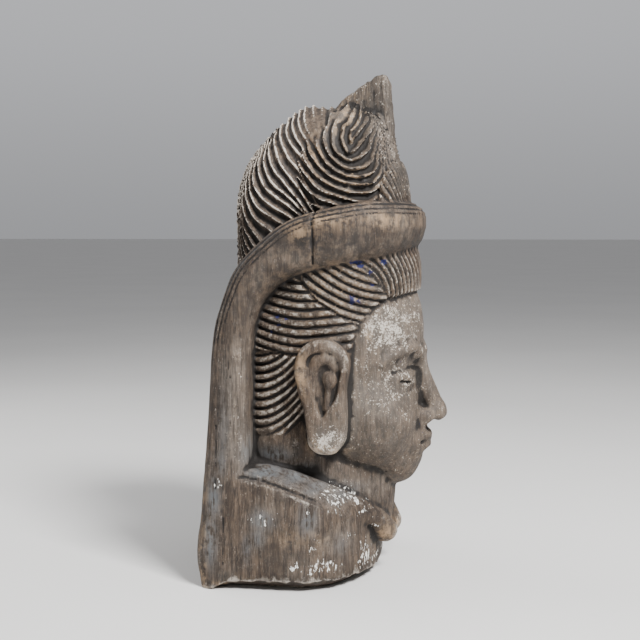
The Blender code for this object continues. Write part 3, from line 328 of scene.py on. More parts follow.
class HeadStage(PropertyGroup):
    """Floor, light and camera."""
    floor: tint("Floor", "Colour of the floor", (0.760, 0.750, 0.730))
    sky: tint("Fill light", "Colour of the light from all round", (0.95, 0.96, 1.0))
    sky_strength: share("Fill strength", "Strength of the light from all round", 0.26)
    backdrop: share("Backdrop", "Strength of the light from the side behind the head", 0.60)
    key_power: FloatProperty(name="Key power", description="Power of the main lamp", default=64.0, min=0.0,
                             unit="POWER")
    key_size: size("Key size", "Side of the main lamp", 0.45)
    camera_place: FloatVectorProperty(name="Camera", description="Place of the camera", subtype="TRANSLATION",
                                      unit="LENGTH", default=(-0.9529, -0.1586, 0.2776))
    camera_turn: FloatProperty(name="Camera turn", description="Heading of the camera from +X",
                               subtype="ANGLE", default=0.176524)
    camera_dip: FloatProperty(name="Camera dip", description="How far the camera looks down", subtype="ANGLE",
                              default=0.075855)
    lens: FloatProperty(name="Lens", description="Focal length in millimetres", default=65.56, min=10.0,
                        max=300.0)


def curve_through(points, closed=False, steps=6):
    """Points of a smooth curve through the given ones."""
    given = np.array(points, float)
    count = len(given)
    out = []
    for i in range(count if closed else count - 1):
        b, c = given[i], given[(i + 1) % count]
        a = given[i - 1] if closed or i else 2 * b - c
        d = given[(i + 2) % count] if closed or i + 2 < count else 2 * c - b
        for t in np.arange(steps) / steps:
            out.append(b + 0.5 * t * (c - a + t * (2 * a - 5 * b + 4 * c - d + t * (3 * (b - c) + d - a))))
    if not closed:
        out.append(given[-1])
    return np.array(out)


class SideShape:
    """Distance to a side-view outline, worked out once on a grid and read between its points."""
    PITCH = 0.0008
    Y0, Z0, ROWS, COLUMNS = -0.118, -0.012, 320, 530

    def __init__(self, outline, closed=True, shut=0):
        # the last `shut` sides only close the outline and aren't measured to
        y = (self.Y0 + self.PITCH * np.arange(self.ROWS))[:, None]
        z = (self.Z0 + self.PITCH * np.arange(self.COLUMNS))[None, :]
        nearest = np.full((self.ROWS, self.COLUMNS), np.inf)
        inside = np.zeros(nearest.shape, bool)
        ends = np.roll(outline, -1, axis=0) if closed else outline[1:]
        for side, ((y0, z0), (y1, z1)) in enumerate(zip(outline, ends)):
            dy, dz = y1 - y0, z1 - z0
            if side < len(outline) - shut:
                t = np.clip(((y - y0) * dy + (z - z0) * dz) / (dy * dy + dz * dz + 1e-18), 0, 1)
                nearest = np.minimum(nearest, (y - y0 - t * dy)**2 + (z - z0 - t * dz)**2)
            if closed and z0 != z1:
                inside ^= ((z0 > z) != (z1 > z)) & (y < dy * (z - z0) / (z1 - z0) + y0)
        self.table = (np.where(inside, -1, 1) * np.sqrt(nearest)).astype(np.float32)

    def __call__(self, y, z):
        u = np.clip((y - self.Y0) / self.PITCH, 0, self.ROWS - 1.001)
        v = np.clip((z - self.Z0) / self.PITCH, 0, self.COLUMNS - 1.001)
        i, j = u.astype(np.int32), v.astype(np.int32)
        u, v = u - i, v - j
        near = self.table[i, j] * (1 - u) + self.table[i + 1, j] * u
        far = self.table[i, j + 1] * (1 - u) + self.table[i + 1, j + 1] * u
        return near * (1 - v) + far * v


class Strands(SideShape):
    """Phase that grows by one from each ridge to the next; `corners` close a ridge round the earlier ones."""

    def __init__(self, ridges, corners, pitch):
        gaps = []
        for ridge in ridges:
            # a ridge goes straight on past both its ends
            line = curve_through(ridge, steps=3)
            ends = [self.beyond(line[-1], corners[0])], [self.beyond(line[0], corners[-1])]
            outline = np.concatenate([ends[1], line, ends[0], corners])
            gaps.append(SideShape(outline, shut=len(corners) + 1).table)
        gaps = np.array(gaps)
        passed = (gaps > 0).sum(0)
        before = np.take_along_axis(gaps, np.maximum(passed - 1, 0)[None], 0)[0]
        after = np.take_along_axis(gaps, np.minimum(passed, len(ridges) - 1)[None], 0)[0]
        between = passed - 1 + before / np.maximum(before - after, 1e-6)
        outer = np.where(passed == 0, after / pitch, len(ridges) - 1 + before / pitch)
        self.table = np.where((passed > 0) & (passed < len(ridges)), between, outer).astype(np.float32)

    @staticmethod
    def beyond(end, corner):
        """Point 50 mm past the end of a ridge, on the way to a corner."""
        away = np.subtract(corner, end)
        return end + 0.05 * away / np.hypot(*away)


TOPKNOT = SideShape(curve_through(TOPKNOT_OUTLINE, closed=True))
SWIRL = SideShape(curve_through(SWIRL_OUTLINE, closed=True))
CREST = SideShape(np.array(CREST_OUTLINE))
VEIL = SideShape(np.concatenate([curve_through(VEIL_OUTER_EDGE), curve_through(VEIL_INNER_EDGE)]))
VEIL_RIM = SideShape(curve_through(VEIL_OUTER_EDGE), closed=False)
HAIR = SideShape(np.concatenate([curve_through(HAIRLINE), [(0.12, 0.30), (-0.12, 0.30)]]))
EAR = SideShape(curve_through(EAR_OUTLINE, closed=True))
HOLLOW = SideShape(curve_through(EAR_HOLLOW, closed=True))
COLLAR = curve_through(COLLAR_EDGE)
CURLS = Strands(SWIRL_RIDGES, [(-0.130, 0.560), (0.000, 0.560)], 0.0064)
FLUTES = Strands(FLUTE_RIDGES, [(-0.120, 0.100), (-0.120, 0.660), (0.160, 0.660)], 0.0064)


def blend(a, b, reach):
    """Union of two fields with a fillet."""
    h = np.maximum(reach - np.abs(a - b), 0) / reach
    return np.minimum(a, b) - h * h * (reach / 4)


def carve(a, b, reach):
    """The first field with the second one cut away, with a soft lip."""
    return -blend(-a, b, reach)


def meet(a, b, radius):
    """Where two fields overlap, with a rounded edge."""
    u, v = np.maximum(a + radius, 0), np.maximum(b + radius, 0)
    return np.minimum(np.maximum(a, b), -radius) + np.sqrt(u * u + v * v)


def ramp(t, low, high):
    """Smooth step from 0 to 1."""
    t = np.clip((t - low) / (high - low), 0, 1)
    return t * t * (3 - 2 * t)


def egg(x, y, z, centre, radii):
    """Ellipsoid."""
    u, v, w = (x - centre[0]) / radii[0], (y - centre[1]) / radii[1], (z - centre[2]) / radii[2]
    out = np.sqrt(u * u + v * v + w * w)
    slope = np.sqrt((u / radii[0])**2 + (v / radii[1])**2 + (w / radii[2])**2)
    return out * (out - 1) / np.maximum(slope, 1e-6)


def stroke(x, y, z, points):
    """Round stroke through (x, y, z, radius) points."""
    best = np.inf
    for start, end in zip(points, points[1:]):
        (ax, ay, az, ar), (bx, by, bz, br) = start, end
        dx, dy, dz = bx - ax, by - ay, bz - az
        t = ((x - ax) * dx + (y - ay) * dy + (z - az) * dz) / (dx * dx + dy * dy + dz * dz)
        t = np.clip(t, 0, 1)
        gap = np.sqrt((x - ax - t * dx)**2 + (y - ay - t * dy)**2 + (z - az - t * dz)**2)
        best = np.minimum(best, gap - ar - t * (br - ar))
    return best


def plan_oval(x, y, half_width, reach, power):
    """Distance from an oval plan, straight behind y = 0.010; the front is `reach` before that line."""
    front = np.maximum(0.010 - y, 0) / reach
    return half_width * (((np.abs(x) / half_width)**power + front**power)**(1 / power) - 1)


def hashed(i, j, k):
    """Fixed number from -1 to 1 for a cell."""
    n = (i * 374761393 + j * 668265263 + k * 2147483647 + 1442695041) & 0x7FFFFFFF
    n = ((n ^ (n >> 13)) * 1274126177) & 0x7FFFFFFF
    n = (n ^ (n >> 16)) & 0xFFFFF
    return n * (2.0 / 0xFFFFF) - 1


def unevenness(x, y, z, cell, seed):
    """Smooth noise from -1 to 1 over cells of one size, the same on every run."""
    u, v, w = x / cell + 57.3 + seed, y / cell + 31.7 - seed, z / cell + 11.1
    i, j, k = (np.floor(t).astype(np.int64) for t in (u, v, w))
    u, v, w = u - i, v - j, w - k
    u, v, w = (t * t * (3 - 2 * t) for t in (u, v, w))
    total = 0
    for a in (0, 1):
        for b in (0, 1):
            for c in (0, 1):
                part = (u if a else 1 - u) * (v if b else 1 - v) * (w if c else 1 - w)
                total = total + part * hashed(i + a, j + b, k + c + 101 * seed)
    return total


def scooped(phase, depth):
    """Hollow flutes between sharp ridges, one per whole number of phase."""
    part = phase - np.floor(phase)
    return depth * (1 - (2 * part - 1)**2)


def ribbed(phase, depth):
    """Rounded strands between grooves, one per whole number of phase."""
    across = np.abs(2 * (phase - np.floor(phase)) - 1)
    return depth * (0.32 * across**2 + 0.68 * ramp(across, 0.45, 0.95))


def groove(offset, half_width, depth):
    """V-shaped groove along a line."""
    return depth * np.maximum(0, 1 - np.abs(offset) / half_width)


def head(s, x, y, z):
    """Skull, face and features."""
    ax = np.abs(x)
    d = egg(x, y, z, (0, -0.003, 0.190), (s.head_half_width, 0.0835, 0.085))
    d = blend(d, egg(x, y, z, (0, -0.020, 0.143), (s.head_half_width - 0.0070, 0.0640, 0.078)), 0.012)
    d = blend(d, egg(ax, y, z, (0.030, -0.052, 0.118), (0.026, 0.028, 0.030)), 0.020)
    d = blend(d, egg(x, y, z, (0, -0.064, 0.084), (0.024, 0.020, 0.021)), 0.022)
    d = carve(d, egg(ax, y, z, (0.0265, -0.094, 0.155), (0.019, 0.015, 0.0115)), 0.012)
    ball = egg(ax, y, z, (0.0265, -0.0665, 0.1535), (0.0170, 0.0145, 0.0125))
    d = blend(d, ball, 0.003)
    slit = np.maximum(np.abs(z - 0.1505 - 9.0 * (ax - 0.0265)**2) - 0.0009, np.abs(ax - 0.0265) - 0.0145)
    slit = np.maximum(slit, y + 0.066)
    d = carve(d, np.maximum(slit, -(ball + 0.0022)), 0.0012)
    crease = np.maximum(np.abs(z - 0.1620 + 11.0 * (ax - 0.0265)**2), np.abs(ax - 0.0265) - 0.016)
    d = d + groove(crease, 0.0018, 0.0010) * (y < -0.05)
    nose = stroke(ax, y, z, [
        (0, -0.080, 0.170, 0.0065), (0, -0.0870, 0.150, 0.0070), (0, -0.0955, 0.127, 0.0085)])
    nose = blend(nose, egg(x, y, z, (0, -0.0975, 0.1225), (0.0085, 0.0085, 0.0080)), 0.006)
    nose = blend(nose, egg(ax, y, z, (0.0105, -0.0865, 0.1205), (0.0065, 0.0095, 0.0070)), 0.005)
    d = blend(d, nose, 0.007)
    d = carve(d, egg(ax, y, z, (0.0055, -0.0935, 0.1135), (0.0030, 0.0045, 0.0035)), 0.003)
    brow = stroke(ax, y, z, [
        (0.006, -0.084, 0.163, 0.002), (0.013, -0.0850, 0.1725, 0.003), (0.028, -0.0815, 0.1790, 0.003),
        (0.043, -0.069, 0.1745, 0.002), (0.050, -0.058, 0.167, 0.001)])
    d = blend(d, brow, 0.008)
    d = blend(d, egg(x, y, z, (0, -0.0785, 0.1000), (0.024, 0.0125, 0.0150)), 0.010)
    upper_lip = stroke(ax, y, z, [
        (0, -0.0900, 0.1025, 0.0040), (0.007, -0.0895, 0.1035, 0.0042), (0.0195, -0.0790, 0.1005, 0.0018)])
    lower_lip = stroke(ax, y, z, [
        (0, -0.0885, 0.0955, 0.0050), (0.008, -0.0870, 0.0960, 0.0045), (0.0185, -0.0785, 0.0990, 0.0016)])
    d = blend(blend(d, upper_lip, 0.003), lower_lip, 0.003)
    seam = stroke(ax, y, z, [
        (0, -0.0965, 0.0990, 0.0014), (0.008, -0.0940, 0.0995, 0.0013), (0.0205, -0.0820, 0.1000, 0.0014)])
    d = carve(d, seam, 0.0025)
    d = carve(d, egg(x, y, z, (0, -0.0990, 0.1120), (0.0022, 0.0105, 0.0055)), 0.004)
    d = carve(d, egg(x, y, z, (0, -0.0960, 0.0880), (0.013, 0.0085, 0.0040)), 0.006)
    return np.maximum(d, y - BEHIND)


def ears(s, x, y, z):
    """Long-lobed ears: a leaning plate whose shallow hollow holds a bent fold, a knob and a thin stem."""
    face = np.abs(x) - s.ear_face - 0.10 * (z - 0.15) - 0.12 * (y + 0.013)
    d = np.maximum(meet(EAR(y, z), face, s.ear_round), 0.050 - np.abs(x))
    up = face + s.ear_depth
    d = carve(d, meet(HOLLOW(y, z), -up, 0.0015), 0.0030)
    fold = stroke(up, y, z, [
        (-0.0004, -0.0246, 0.1664, 0.0034), (-0.0004, -0.0222, 0.1720, 0.0044),
        (-0.0004, -0.0176, 0.1732, 0.0048), (-0.0006, -0.0120, 0.1712, 0.0046),
        (-0.0010, -0.0082, 0.1650, 0.0042), (-0.0012, -0.0070, 0.1560, 0.0034),
        (-0.0012, -0.0086, 0.1460, 0.0026)])
    d = blend(d, fold, 0.0035)
    knob = egg(up, y, z, (0, -0.0212, 0.1568), (0.0044, 0.0056, 0.0066))
    stem = stroke(up, y, z, [(0.0002, -0.0200, 0.1521, 0.0026), (0.0006, -0.0180, 0.1340, 0.0022)])
    d = blend(d, blend(knob, stem, 0.003), 0.0012)
    slot = stroke(up, y, z, [(0.0030, -0.0138, 0.1480, 0.0018), (0.0050, -0.0150, 0.1265, 0.0012)])
    return carve(d, slot, 0.002)


def side_strands(s, x, y, z):
    """Depth of the grooves in the hair around the face: four groups of strands, each with its own sweep."""
    # the side view is unrolled round the forehead, so the strands go on across the front and cut straight in
    out = np.hypot(x / s.hair_half_width, (y + 0.004) / 0.081) / 0.965
    out = 1 + (out - 1) * ramp(-y, 0.025, 0.050)
    roll = (y + 0.004) / out - 0.004
    roll = roll - 0.75 * np.maximum(0.060 - np.abs(x) / out, 0) * ramp(-roll, 0.030, 0.078)
    drift = 0.25 * unevenness(x, y, z, 0.03, 3)
    parting = ribbed(np.hypot(roll + 0.0200, z - 0.2004) / s.parting_pitch + drift, s.parting_depth)
    temple = ribbed(np.hypot(roll + 0.0634, z - 0.2950) / s.temple_pitch + drift, s.temple_depth)
    side = ribbed(np.hypot(roll + 0.0083, z - 0.3337) / s.side_pitch + drift, s.side_depth)
    lift = 18.5 * np.maximum(0.0389 - y, 0)**2
    nape = ribbed((z - lift) / s.nape_pitch + drift, s.nape_depth)
    # the borders between the groups
    before = ((z - 0.2469) * 0.0315 - (roll + 0.0397) * 0.0279) / 0.0421
    border = np.interp(z, [0.195, 0.2035, 0.2175, 0.233, 0.26], [-0.045, -0.0303, -0.0083, 0.0035, 0.018])
    middle = 0.75 * (border - y)
    above = z - 0.1745 - 0.05 * y
    depth = np.where(above > 0, np.where(middle > 0, np.where(before > 0, parting, temple), side), nape)
    near = np.minimum(np.abs(middle), np.abs(np.where(middle > 0, before, above)))
    near = np.where(above > 0, near, np.abs(above))
    # shallow beside the middle of the brow, where deep grooves would meet under the surface
    shallow = ramp(-y, 0.055, 0.070) * (1 - ramp(np.abs(x), 0.004, 0.016))
    return np.maximum(depth, groove(near, 0.0022, 0.0026)) * (1 - shallow)


def side_hair(s, x, y, z):
    """Hair between the face and the veil."""
    d = egg(x, y, z, (0, 0.000, 0.190), (s.hair_half_width, 0.0855, 0.092))
    d = blend(d, egg(x, y, z, (0, -0.0080, 0.2360), (s.hair_half_width, 0.0768, 0.070)), 0.006)
    d = blend(d, egg(x, y, z, (0, 0.018, 0.130), (s.head_half_width - 0.0005, 0.060, 0.062)), 0.010)
    d = carve(d, egg(x, y, z, (0, -0.0950, 0.238), (0.0050, 0.0150, 0.030)), 0.006)
    d = meet(d, HAIR(y, z), 0.0025) + side_strands(s, x, y, z)
    return np.maximum(d, y - 0.064)


def topknot(s, x, y, z):
    """The hair piled above the band: a fluted back, a swirl on each side in front, and a plain crest."""
    ax = np.abs(x)
    side = TOPKNOT(y, z)
    half = s.topknot_half_width * np.interp(
        z, [0.17, 0.23, 0.29, 0.31, 0.33, 0.35, 0.365, 0.38],
        [0.75, 1, 0.975, 0.925, 0.842, 0.717, 0.567, 0.367])
    plan = (((ax / half)**2.6 + (np.abs(y) / 0.083)**2.6)**(1 / 2.6) - 1) * half
    drift = 0.06 * unevenness(x, y, z, 0.015, 1)
    # unrolled round the front and the back in the same way
    out = 1 + plan / half * ramp(np.abs(y), 0.030, 0.050)
    along = y / out
    roll = 0.6 * np.maximum(0.045 - ax / out, 0)
    # a rough place between the flutes and the swirl, where no strands are cut
    plain = 1 - np.exp(-((y + 0.001) / 0.0085)**2 - ((z - 0.352) / 0.0125)**2)
    back = meet(side, plan * 0.95, 0.030)
    turn = FLUTES(along + roll * ramp(along, 0.030, 0.070), z) + drift
    back = back + scooped(turn, s.top_depth) * ramp(-side, -0.004, 0.001) * plain
    front = meet(np.maximum(side, SWIRL(y, z)), (plan - s.swirl_proud) * 0.95, 0.016)
    front = carve(front, egg(x, y, z, (0, -0.035, 0.385), (0.010, 0.040, 0.024)), 0.012)
    unrolled = along - roll * ramp(-along, 0.040, 0.068)
    turn = CURLS(unrolled, z) + drift
    turn = np.floor(turn) + (turn - np.floor(turn))**0.65
    edge = y - np.interp(z, [0.285, 0.295, 0.3125, 0.334, 0.345], [-0.052, -0.054, -0.0573, -0.0669, -0.080])
    fan = ribbed((0.62 * z - 0.785 * unrolled) / s.fan_pitch, s.fan_depth)
    cut = np.where(edge < 0, fan, scooped(turn, s.swirl_depth) * plain)
    front = front + np.maximum(cut, groove(edge, 0.0022, 0.003))
    d = blend(back, front, 0.002)
    crest = meet(CREST(y, z), ax - s.crest_half_width + 0.06 * (z - 0.36), 0.0022)
    # splintered top of the crest, where it broke off
    torn = 0.0011 * unevenness(x, y, z * 0.3, 0.0026, 21) * ramp(z, 0.366, 0.380)
    return blend(d, crest + torn, 0.002)


def from_rim(x, y, z):
    """Distance from the veil's outer rim, a little uneven, for lines cut by hand."""
    return VEIL_RIM(y, z) + 0.0005 * unevenness(x, y, z, 0.02, 5)


def veil(s, x, y, z):
    """The rolled band over the brow and the veil that falls from it behind the ears, lined along its rim."""
    reach = s.veil_front - 0.30 * np.clip(0.274 - z, 0, 0.03)
    side = plan_oval(x, y, s.veil_half_width, reach, 2.35) - 0.0025 * np.clip((y - 0.010) / 0.065, 0, 1)
    side = side - s.veil_flare * np.clip(1 - z / 0.200, 0, 1.2)**1.4
    d = meet(side, VEIL(y, z), s.veil_round)
    rim = from_rim(x, y, z)
    lines = sum(groove(rim - place, half_width, depth) for place, half_width, depth in RIM_LINES)
    d = d + lines * ramp(z, 0.150, 0.200)
    for seed, (place, wander, half_width, depth, end, low) in enumerate(BAND_CRACKS, 6):
        crack = y - place + wander * unevenness(x, y, z, 0.008, seed)
        d = d + groove(crack, half_width, depth) * (x < end) * ramp(z, low, low + 0.004)
    return d


def shoulders(s, x, y, z):
    """Neck and shoulders with a rolled collar that ends in two lobes in front."""
    ax = np.abs(x)
    plan = plan_oval(x, y, s.shoulder_half_width, s.shoulder_front, 2.2)
    plan = np.maximum(plan - s.shoulder_flare * np.clip(1 - z / 0.100, 0, 1.2), y - BEHIND)
    top = np.interp(y, COLLAR[:, 0], COLLAR[:, 1])
    slope = (z - top + 0.12 * np.maximum(ax - 0.045, 0)) * 0.88
    d = meet(plan, slope, 0.009)
    side = s.shoulder_half_width - COLLAR_FITS
    collar = stroke(ax, y, z, [
        (side + 0.068, 0.030, 0.080, 0.007), (side + 0.066, 0.010, 0.0755, 0.0075),
        (side + 0.058, -0.016, 0.0635, 0.008), (side + 0.045, -0.036, 0.051, 0.0085),
        (0.030, -0.050, 0.038, 0.0095), (0.0165, -0.0570, 0.027, 0.0105)])
    d = blend(d, collar, 0.005)
    d = d + groove(slope + 0.0050, 0.0018, 0.0022) * ramp(y, -0.024, -0.008)
    split = stroke(ax, y, z, [
        (0.0400, -0.0470, 0.0350, 0.0010), (0.0330, -0.0530, 0.0240, 0.0016),
        (0.0280, -0.0560, 0.0100, 0.0010)])
    d = carve(d, split, 0.003)
    neck = egg(x, y, z, (0, -0.004, 0.062), (s.neck_half_width, 0.0600, 0.085))
    nape = egg(x, y, z, (0, 0.022, 0.105), (s.head_half_width - 0.0045, 0.052, 0.060))
    nape = np.maximum(nape, y - BEHIND)
    return blend(d, blend(neck, nape, 0.010), 0.005)


def underside(s, x, y, z):
    """Flat foot with a worn, chipped edge that leaves the back corners down."""
    ax = np.abs(x)
    edge = s.shoulder_half_width + s.shoulder_flare
    inward = np.minimum(-plan_oval(x, y, edge, s.shoulder_front, 2.2), 0.083 - y)
    kept = ramp(y, 0.055, 0.072) * ramp(ax, edge - 0.0375, edge - 0.0175)
    worn = (FOOT + 0.0022 * unevenness(x, y, 0 * z, 0.020, 8)) * (1 - kept)
    worn = worn + 0.0009 * unevenness(x, y, 0 * z, 0.0045, 9) * (1 - kept)
    return worn * np.clip(1 - inward / 0.014, 0, 1) - FOOT - z


def drying_cracks(x, y, z):
    """Depth of the cracks that opened along the grain as the log dried."""
    wander = 0.0016 * unevenness(x, y, z, 0.022, 31) + 0.0005 * unevenness(x, y, z, 0.006, 32)
    depth = 0
    for cracks, across, shown, end in (
            (BACK_CRACKS, x, y > 0.045, 0.03), (SIDE_CRACKS, y, np.abs(x) > 0.05, 0.02)):
        for where, low, high, half_width, deep in cracks:
            taper = ramp(z, low, low + end) * ramp(-z, -high, -high + end)
            width = half_width * (0.3 + 0.7 * taper)
            depth = depth + groove(across - where + wander, width, deep) * taper * shown
    return depth


def carving(s, x, y, z):
    """The whole carving as one field, negative inside the wood."""
    d = np.minimum(head(s, x, y, z), side_hair(s, x, y, z))
    d = blend(d, shoulders(s, x, y, z), 0.004)
    d = np.minimum(d, topknot(s, x, y, z))
    d = blend(d, veil(s, x, y, z) + drying_cracks(x, y, z), 0.002)
    d = blend(d, ears(s, x, y, z), 0.002)
    return np.maximum(d, underside(s, x, y, z))


def sampled(field, step, levels=3):
    """A field on a regular grid: everywhere on a coarse one, then near the surface on finer ones."""
    pitch = step * 2**(levels - 1)
    counts = np.ceil((HIGH - LOW) / pitch).astype(int) + 1
    x, y, z = np.meshgrid(*(LOW[i] + pitch * np.arange(counts[i]) for i in range(3)), indexing="ij")
    values = field(x.ravel(), y.ravel(), z.ravel()).reshape(counts)
    for _ in range(levels - 1):
        for axis in range(3):
            lines = np.moveaxis(values, axis, 0)
            finer = np.empty((2 * len(lines) - 1,) + lines.shape[1:])
            finer[0::2] = lines
            finer[1::2] = (lines[1:] + lines[:-1]) / 2
            values = np.moveaxis(finer, 0, axis)
        near = np.nonzero(np.abs(values) < 2.2 * pitch)
        pitch /= 2
        values[near] = field(*(LOW[i] + pitch * near[i] for i in range(3)))
    return values


def meshed(values, step, name):
    """Mesh of the surface where the sampled field is zero."""
    band = 3 * step
    grid = openvdb.FloatGrid(band)
    grid.copyFromArray(np.ascontiguousarray(np.clip(values, -band, band), dtype=np.float32))
    points, quads = grid.convertToQuads(isovalue=0)
    points = points * step + LOW + (0, SET_BACK, FOOT)
    mesh = bpy.data.meshes.new(name)
    mesh.vertices.add(len(points))
    mesh.vertices.foreach_set("co", points.astype(np.float32).ravel())
    mesh.loops.add(quads.size)
    mesh.loops.foreach_set("vertex_index", quads.astype(np.int32).ravel())
    mesh.polygons.add(len(quads))
    mesh.polygons.foreach_set("loop_start", np.arange(0, quads.size, 4, dtype=np.int32))
    mesh.update(calc_edges=True)
    mesh.validate()
    return mesh


def keep_outer_shell(mesh):
    """Leave only the largest connected surface: no loose crumbs and no sealed pockets."""
    shape = bmesh.new()
    shape.from_mesh(mesh)
    left = set(shape.verts)
    largest = []
    loose = []
    while left:
        island = [left.pop()]
        for vert in island:
            for edge in vert.link_edges:
                other = edge.other_vert(vert)
                if other in left:
                    left.remove(other)
                    island.append(other)
        if len(island) > len(largest):
            island, largest = largest, island
        loose += island
    bmesh.ops.delete(shape, geom=loose, context="VERTS")
    shape.to_mesh(mesh)
    shape.free()


def thinned(piece, triangles):
    """The piece's mesh with fewer triangles, flat areas first."""
    mesh = piece.data
    thin = piece.modifiers.new("Thin", "DECIMATE")
    thin.ratio = triangles / (2 * len(mesh.polygons))
    thin.use_collapse_triangulate = True
    finished = bpy.data.meshes.new_from_object(piece.evaluated_get(bpy.context.evaluated_depsgraph_get()))
    finished.name = piece.name
    piece.modifiers.clear()
    piece.data = finished
    bpy.data.meshes.remove(mesh)
    return finished


def places(mesh):
    """Vertices and their normals, measured as the outlines are."""
    points = np.empty(3 * len(mesh.vertices), np.float32)
    mesh.vertices.foreach_get("co", points)
    normals = np.empty(3 * len(mesh.vertices), np.float32)
    mesh.vertex_normals.foreach_get("vector", normals)
    return points.reshape(-1, 3).astype(float) - (0, SET_BACK, FOOT), normals.reshape(-1, 3).astype(float)


def weather(s, mesh):
    """Raise the grain and roughen the carved surface, inside the solid's box and off the flat foot."""
    points, normals = places(mesh)
    x, y, z = points.T
    fibres = unevenness(x, y, z * 0.10, 0.0030, 41)
    knife = unevenness(x, y, z, 0.0065, 43) + 0.5 * unevenness(x, y, z, 0.0030, 44)
    hair = ramp(-HAIR(y, z), -0.004, -0.001)
    upright = 1 - 0.6 * np.abs(normals[:, 2])
    height = s.grain_relief * (fibres * upright * (0.6 + 0.4 * hair) + 0.7 * knife) - SUNK
    height = height * ramp(z, -FOOT + 0.0004, -FOOT + 0.002)
    points = points + normals * height[:, None] + (0, SET_BACK, FOOT)
    points = np.clip(points, np.array(CAD_BOX[0]), np.array(CAD_BOX[1]))
    mesh.vertices.foreach_set("co", points.astype(np.float32).ravel())
    mesh.update()


def note(mesh, name, values):
    """Keep one number per vertex, for the finish to read."""
    layer = mesh.attributes.new(name, "FLOAT", "POINT")
    layer.data.foreach_set("value", np.clip(values, 0, 1).astype(np.float32))


def patches(y, z, listed):
    """Soft-edged patches in side view."""
    total = 0
    for cy, cz, ry, rz, strength in listed:
        total = np.maximum(total, strength * np.exp(-((y - cy) / ry)**2 - ((z - cz) / rz)**2))
    return total


def rim_lines(y, z):
    """Where the lines run that are cut along the veil's rim."""
    rim = from_rim(-0.07, y, z)
    near = np.min([np.abs(rim - line[0]) for line in RIM_LINES], 0)
    return ramp(-near, -0.0010, -0.0002) * ramp(z, 0.150, 0.200) * (VEIL(y, z) < 0)


def sunk_below(mesh, points, normals, rounds):
    """How far each vertex lies below its smoothed surroundings, for each number of rounds of smoothing."""
    edges = np.empty(2 * len(mesh.edges), np.int32)
    mesh.edges.foreach_get("vertices", edges)
    start, end = edges[0::2], edges[1::2]
    count = len(points)
    around = np.bincount(start, minlength=count) + np.bincount(end, minlength=count)
    around = np.maximum(around, 1)
    smooth = points.copy()
    out = []
    for turn in range(1, max(rounds) + 1):
        for axis in range(3):
            line = smooth[:, axis]
            near = np.bincount(start, line[end], count) + np.bincount(end, line[start], count)
            smooth[:, axis] = 0.5 * line + 0.5 * near / around
        if turn in rounds:
            out.append(((smooth - points) * normals).sum(1))
    return out


def note_wear(s, mesh):
    """Work out where shade is painted into the grooves and hollows and under the band, where edges are
    rubbed, and where ground, paint and stains are left.
    """
    points, normals = places(mesh)
    x, y, z = points.T
    close, wide, broad = sunk_below(mesh, points, normals, (3, 14, 60))
    beside_face = ramp(HAIR(y, z), 0.0, 0.003) * ramp(-y, -0.004, 0.030) * ramp(z, 0.052, 0.085)
    from_head = np.abs(x) - s.head_half_width
    ear = ramp(-EAR(y, z), -0.002, 0.001) * ramp(from_head, -0.001, 0.003)
    inner = ramp(-HOLLOW(y, z), -0.001, 0.001) * ear
    face = beside_face * (1 - ear)
    note(mesh, "ground", (0.26 + 0.12 * ramp(z, 0.095, 0.150)) * face + patches(y, z, GROUND_PATCHES))
    note(mesh, "flaked", patches(y, z, FLAKE_PATCHES) * (1 - 0.5 * ear))
    note(mesh, "stained", patches(y, z, STAIN_PATCHES))
    note(mesh, "rubbed", patches(y, z, WORN_PATCHES))
    note(mesh, "painted", patches(y, z, PAINT_PATCHES) * (np.abs(x) > 0.03))
    # where shade is painted, with darker wood: under the band, on the jaw and neck, along the foot
    note(mesh, "shade_and_dark", patches(y, z, SHADE_AND_DARK_PATCHES))
    above = ramp(VEIL_RIM(y, z), 0.0, 0.002) * ramp(z, 0.270, 0.300)
    crest = above * ramp(-CREST(y, z), -0.002, 0.001) * (np.abs(x) < s.crest_half_width + 0.004)
    rim = ramp(-VEIL_RIM(y, z), -0.0030, -0.0005) * ramp(z, 0.150, 0.200) * (np.abs(x) > 0.02)
    flutes = above * ramp(y, -0.004, 0.014)
    nape = ramp(y, 0.002, 0.008) * ramp(z, 0.104, 0.112) * ramp(-z, -0.176, -0.170)
    nape = nape * ramp(-VEIL(y, z), -0.060, -0.002)
    # how far each vertex is sunk below its surroundings; with the lines along the veil's rim it becomes the
    # painted shade in the grooves and hollows
    deep = (close / 0.0014 + wide / 0.0036 + broad / 0.0150) * (1 - 0.45 * ear - 0.22 * flutes)
    note(mesh, "hollow", deep + 0.40 * rim_lines(y, z))
    swirl = above * (1 - crest) * ramp(y, -0.070, -0.056)
    note(mesh, "weathered", 0.8 * swirl + 0.2 * flutes + 0.7 * rim + 0.5 * nape)
    hair = ramp(-HAIR(y, z), -0.001, 0.001) * ramp(VEIL(y, z), -0.001, 0.001)
    band = ramp(-VEIL(y, z), -0.001, 0.002) * ramp(z, 0.200, 0.245)
    worn = 1 + 0.7 * flutes + 0.15 * nape - 0.8 * inner - 0.65 * band - 0.5 * face - 0.1 * hair
    note(mesh, "ridge", (-close / 0.0010 - wide / 0.0045) * worn + 0.10 * flutes)
    plain = (1 - above) * (1 - face) * (1 - ear) * (1 - hair)
    note(mesh, "streaked", crest + 0.75 * plain * (1 - 0.6 * band))


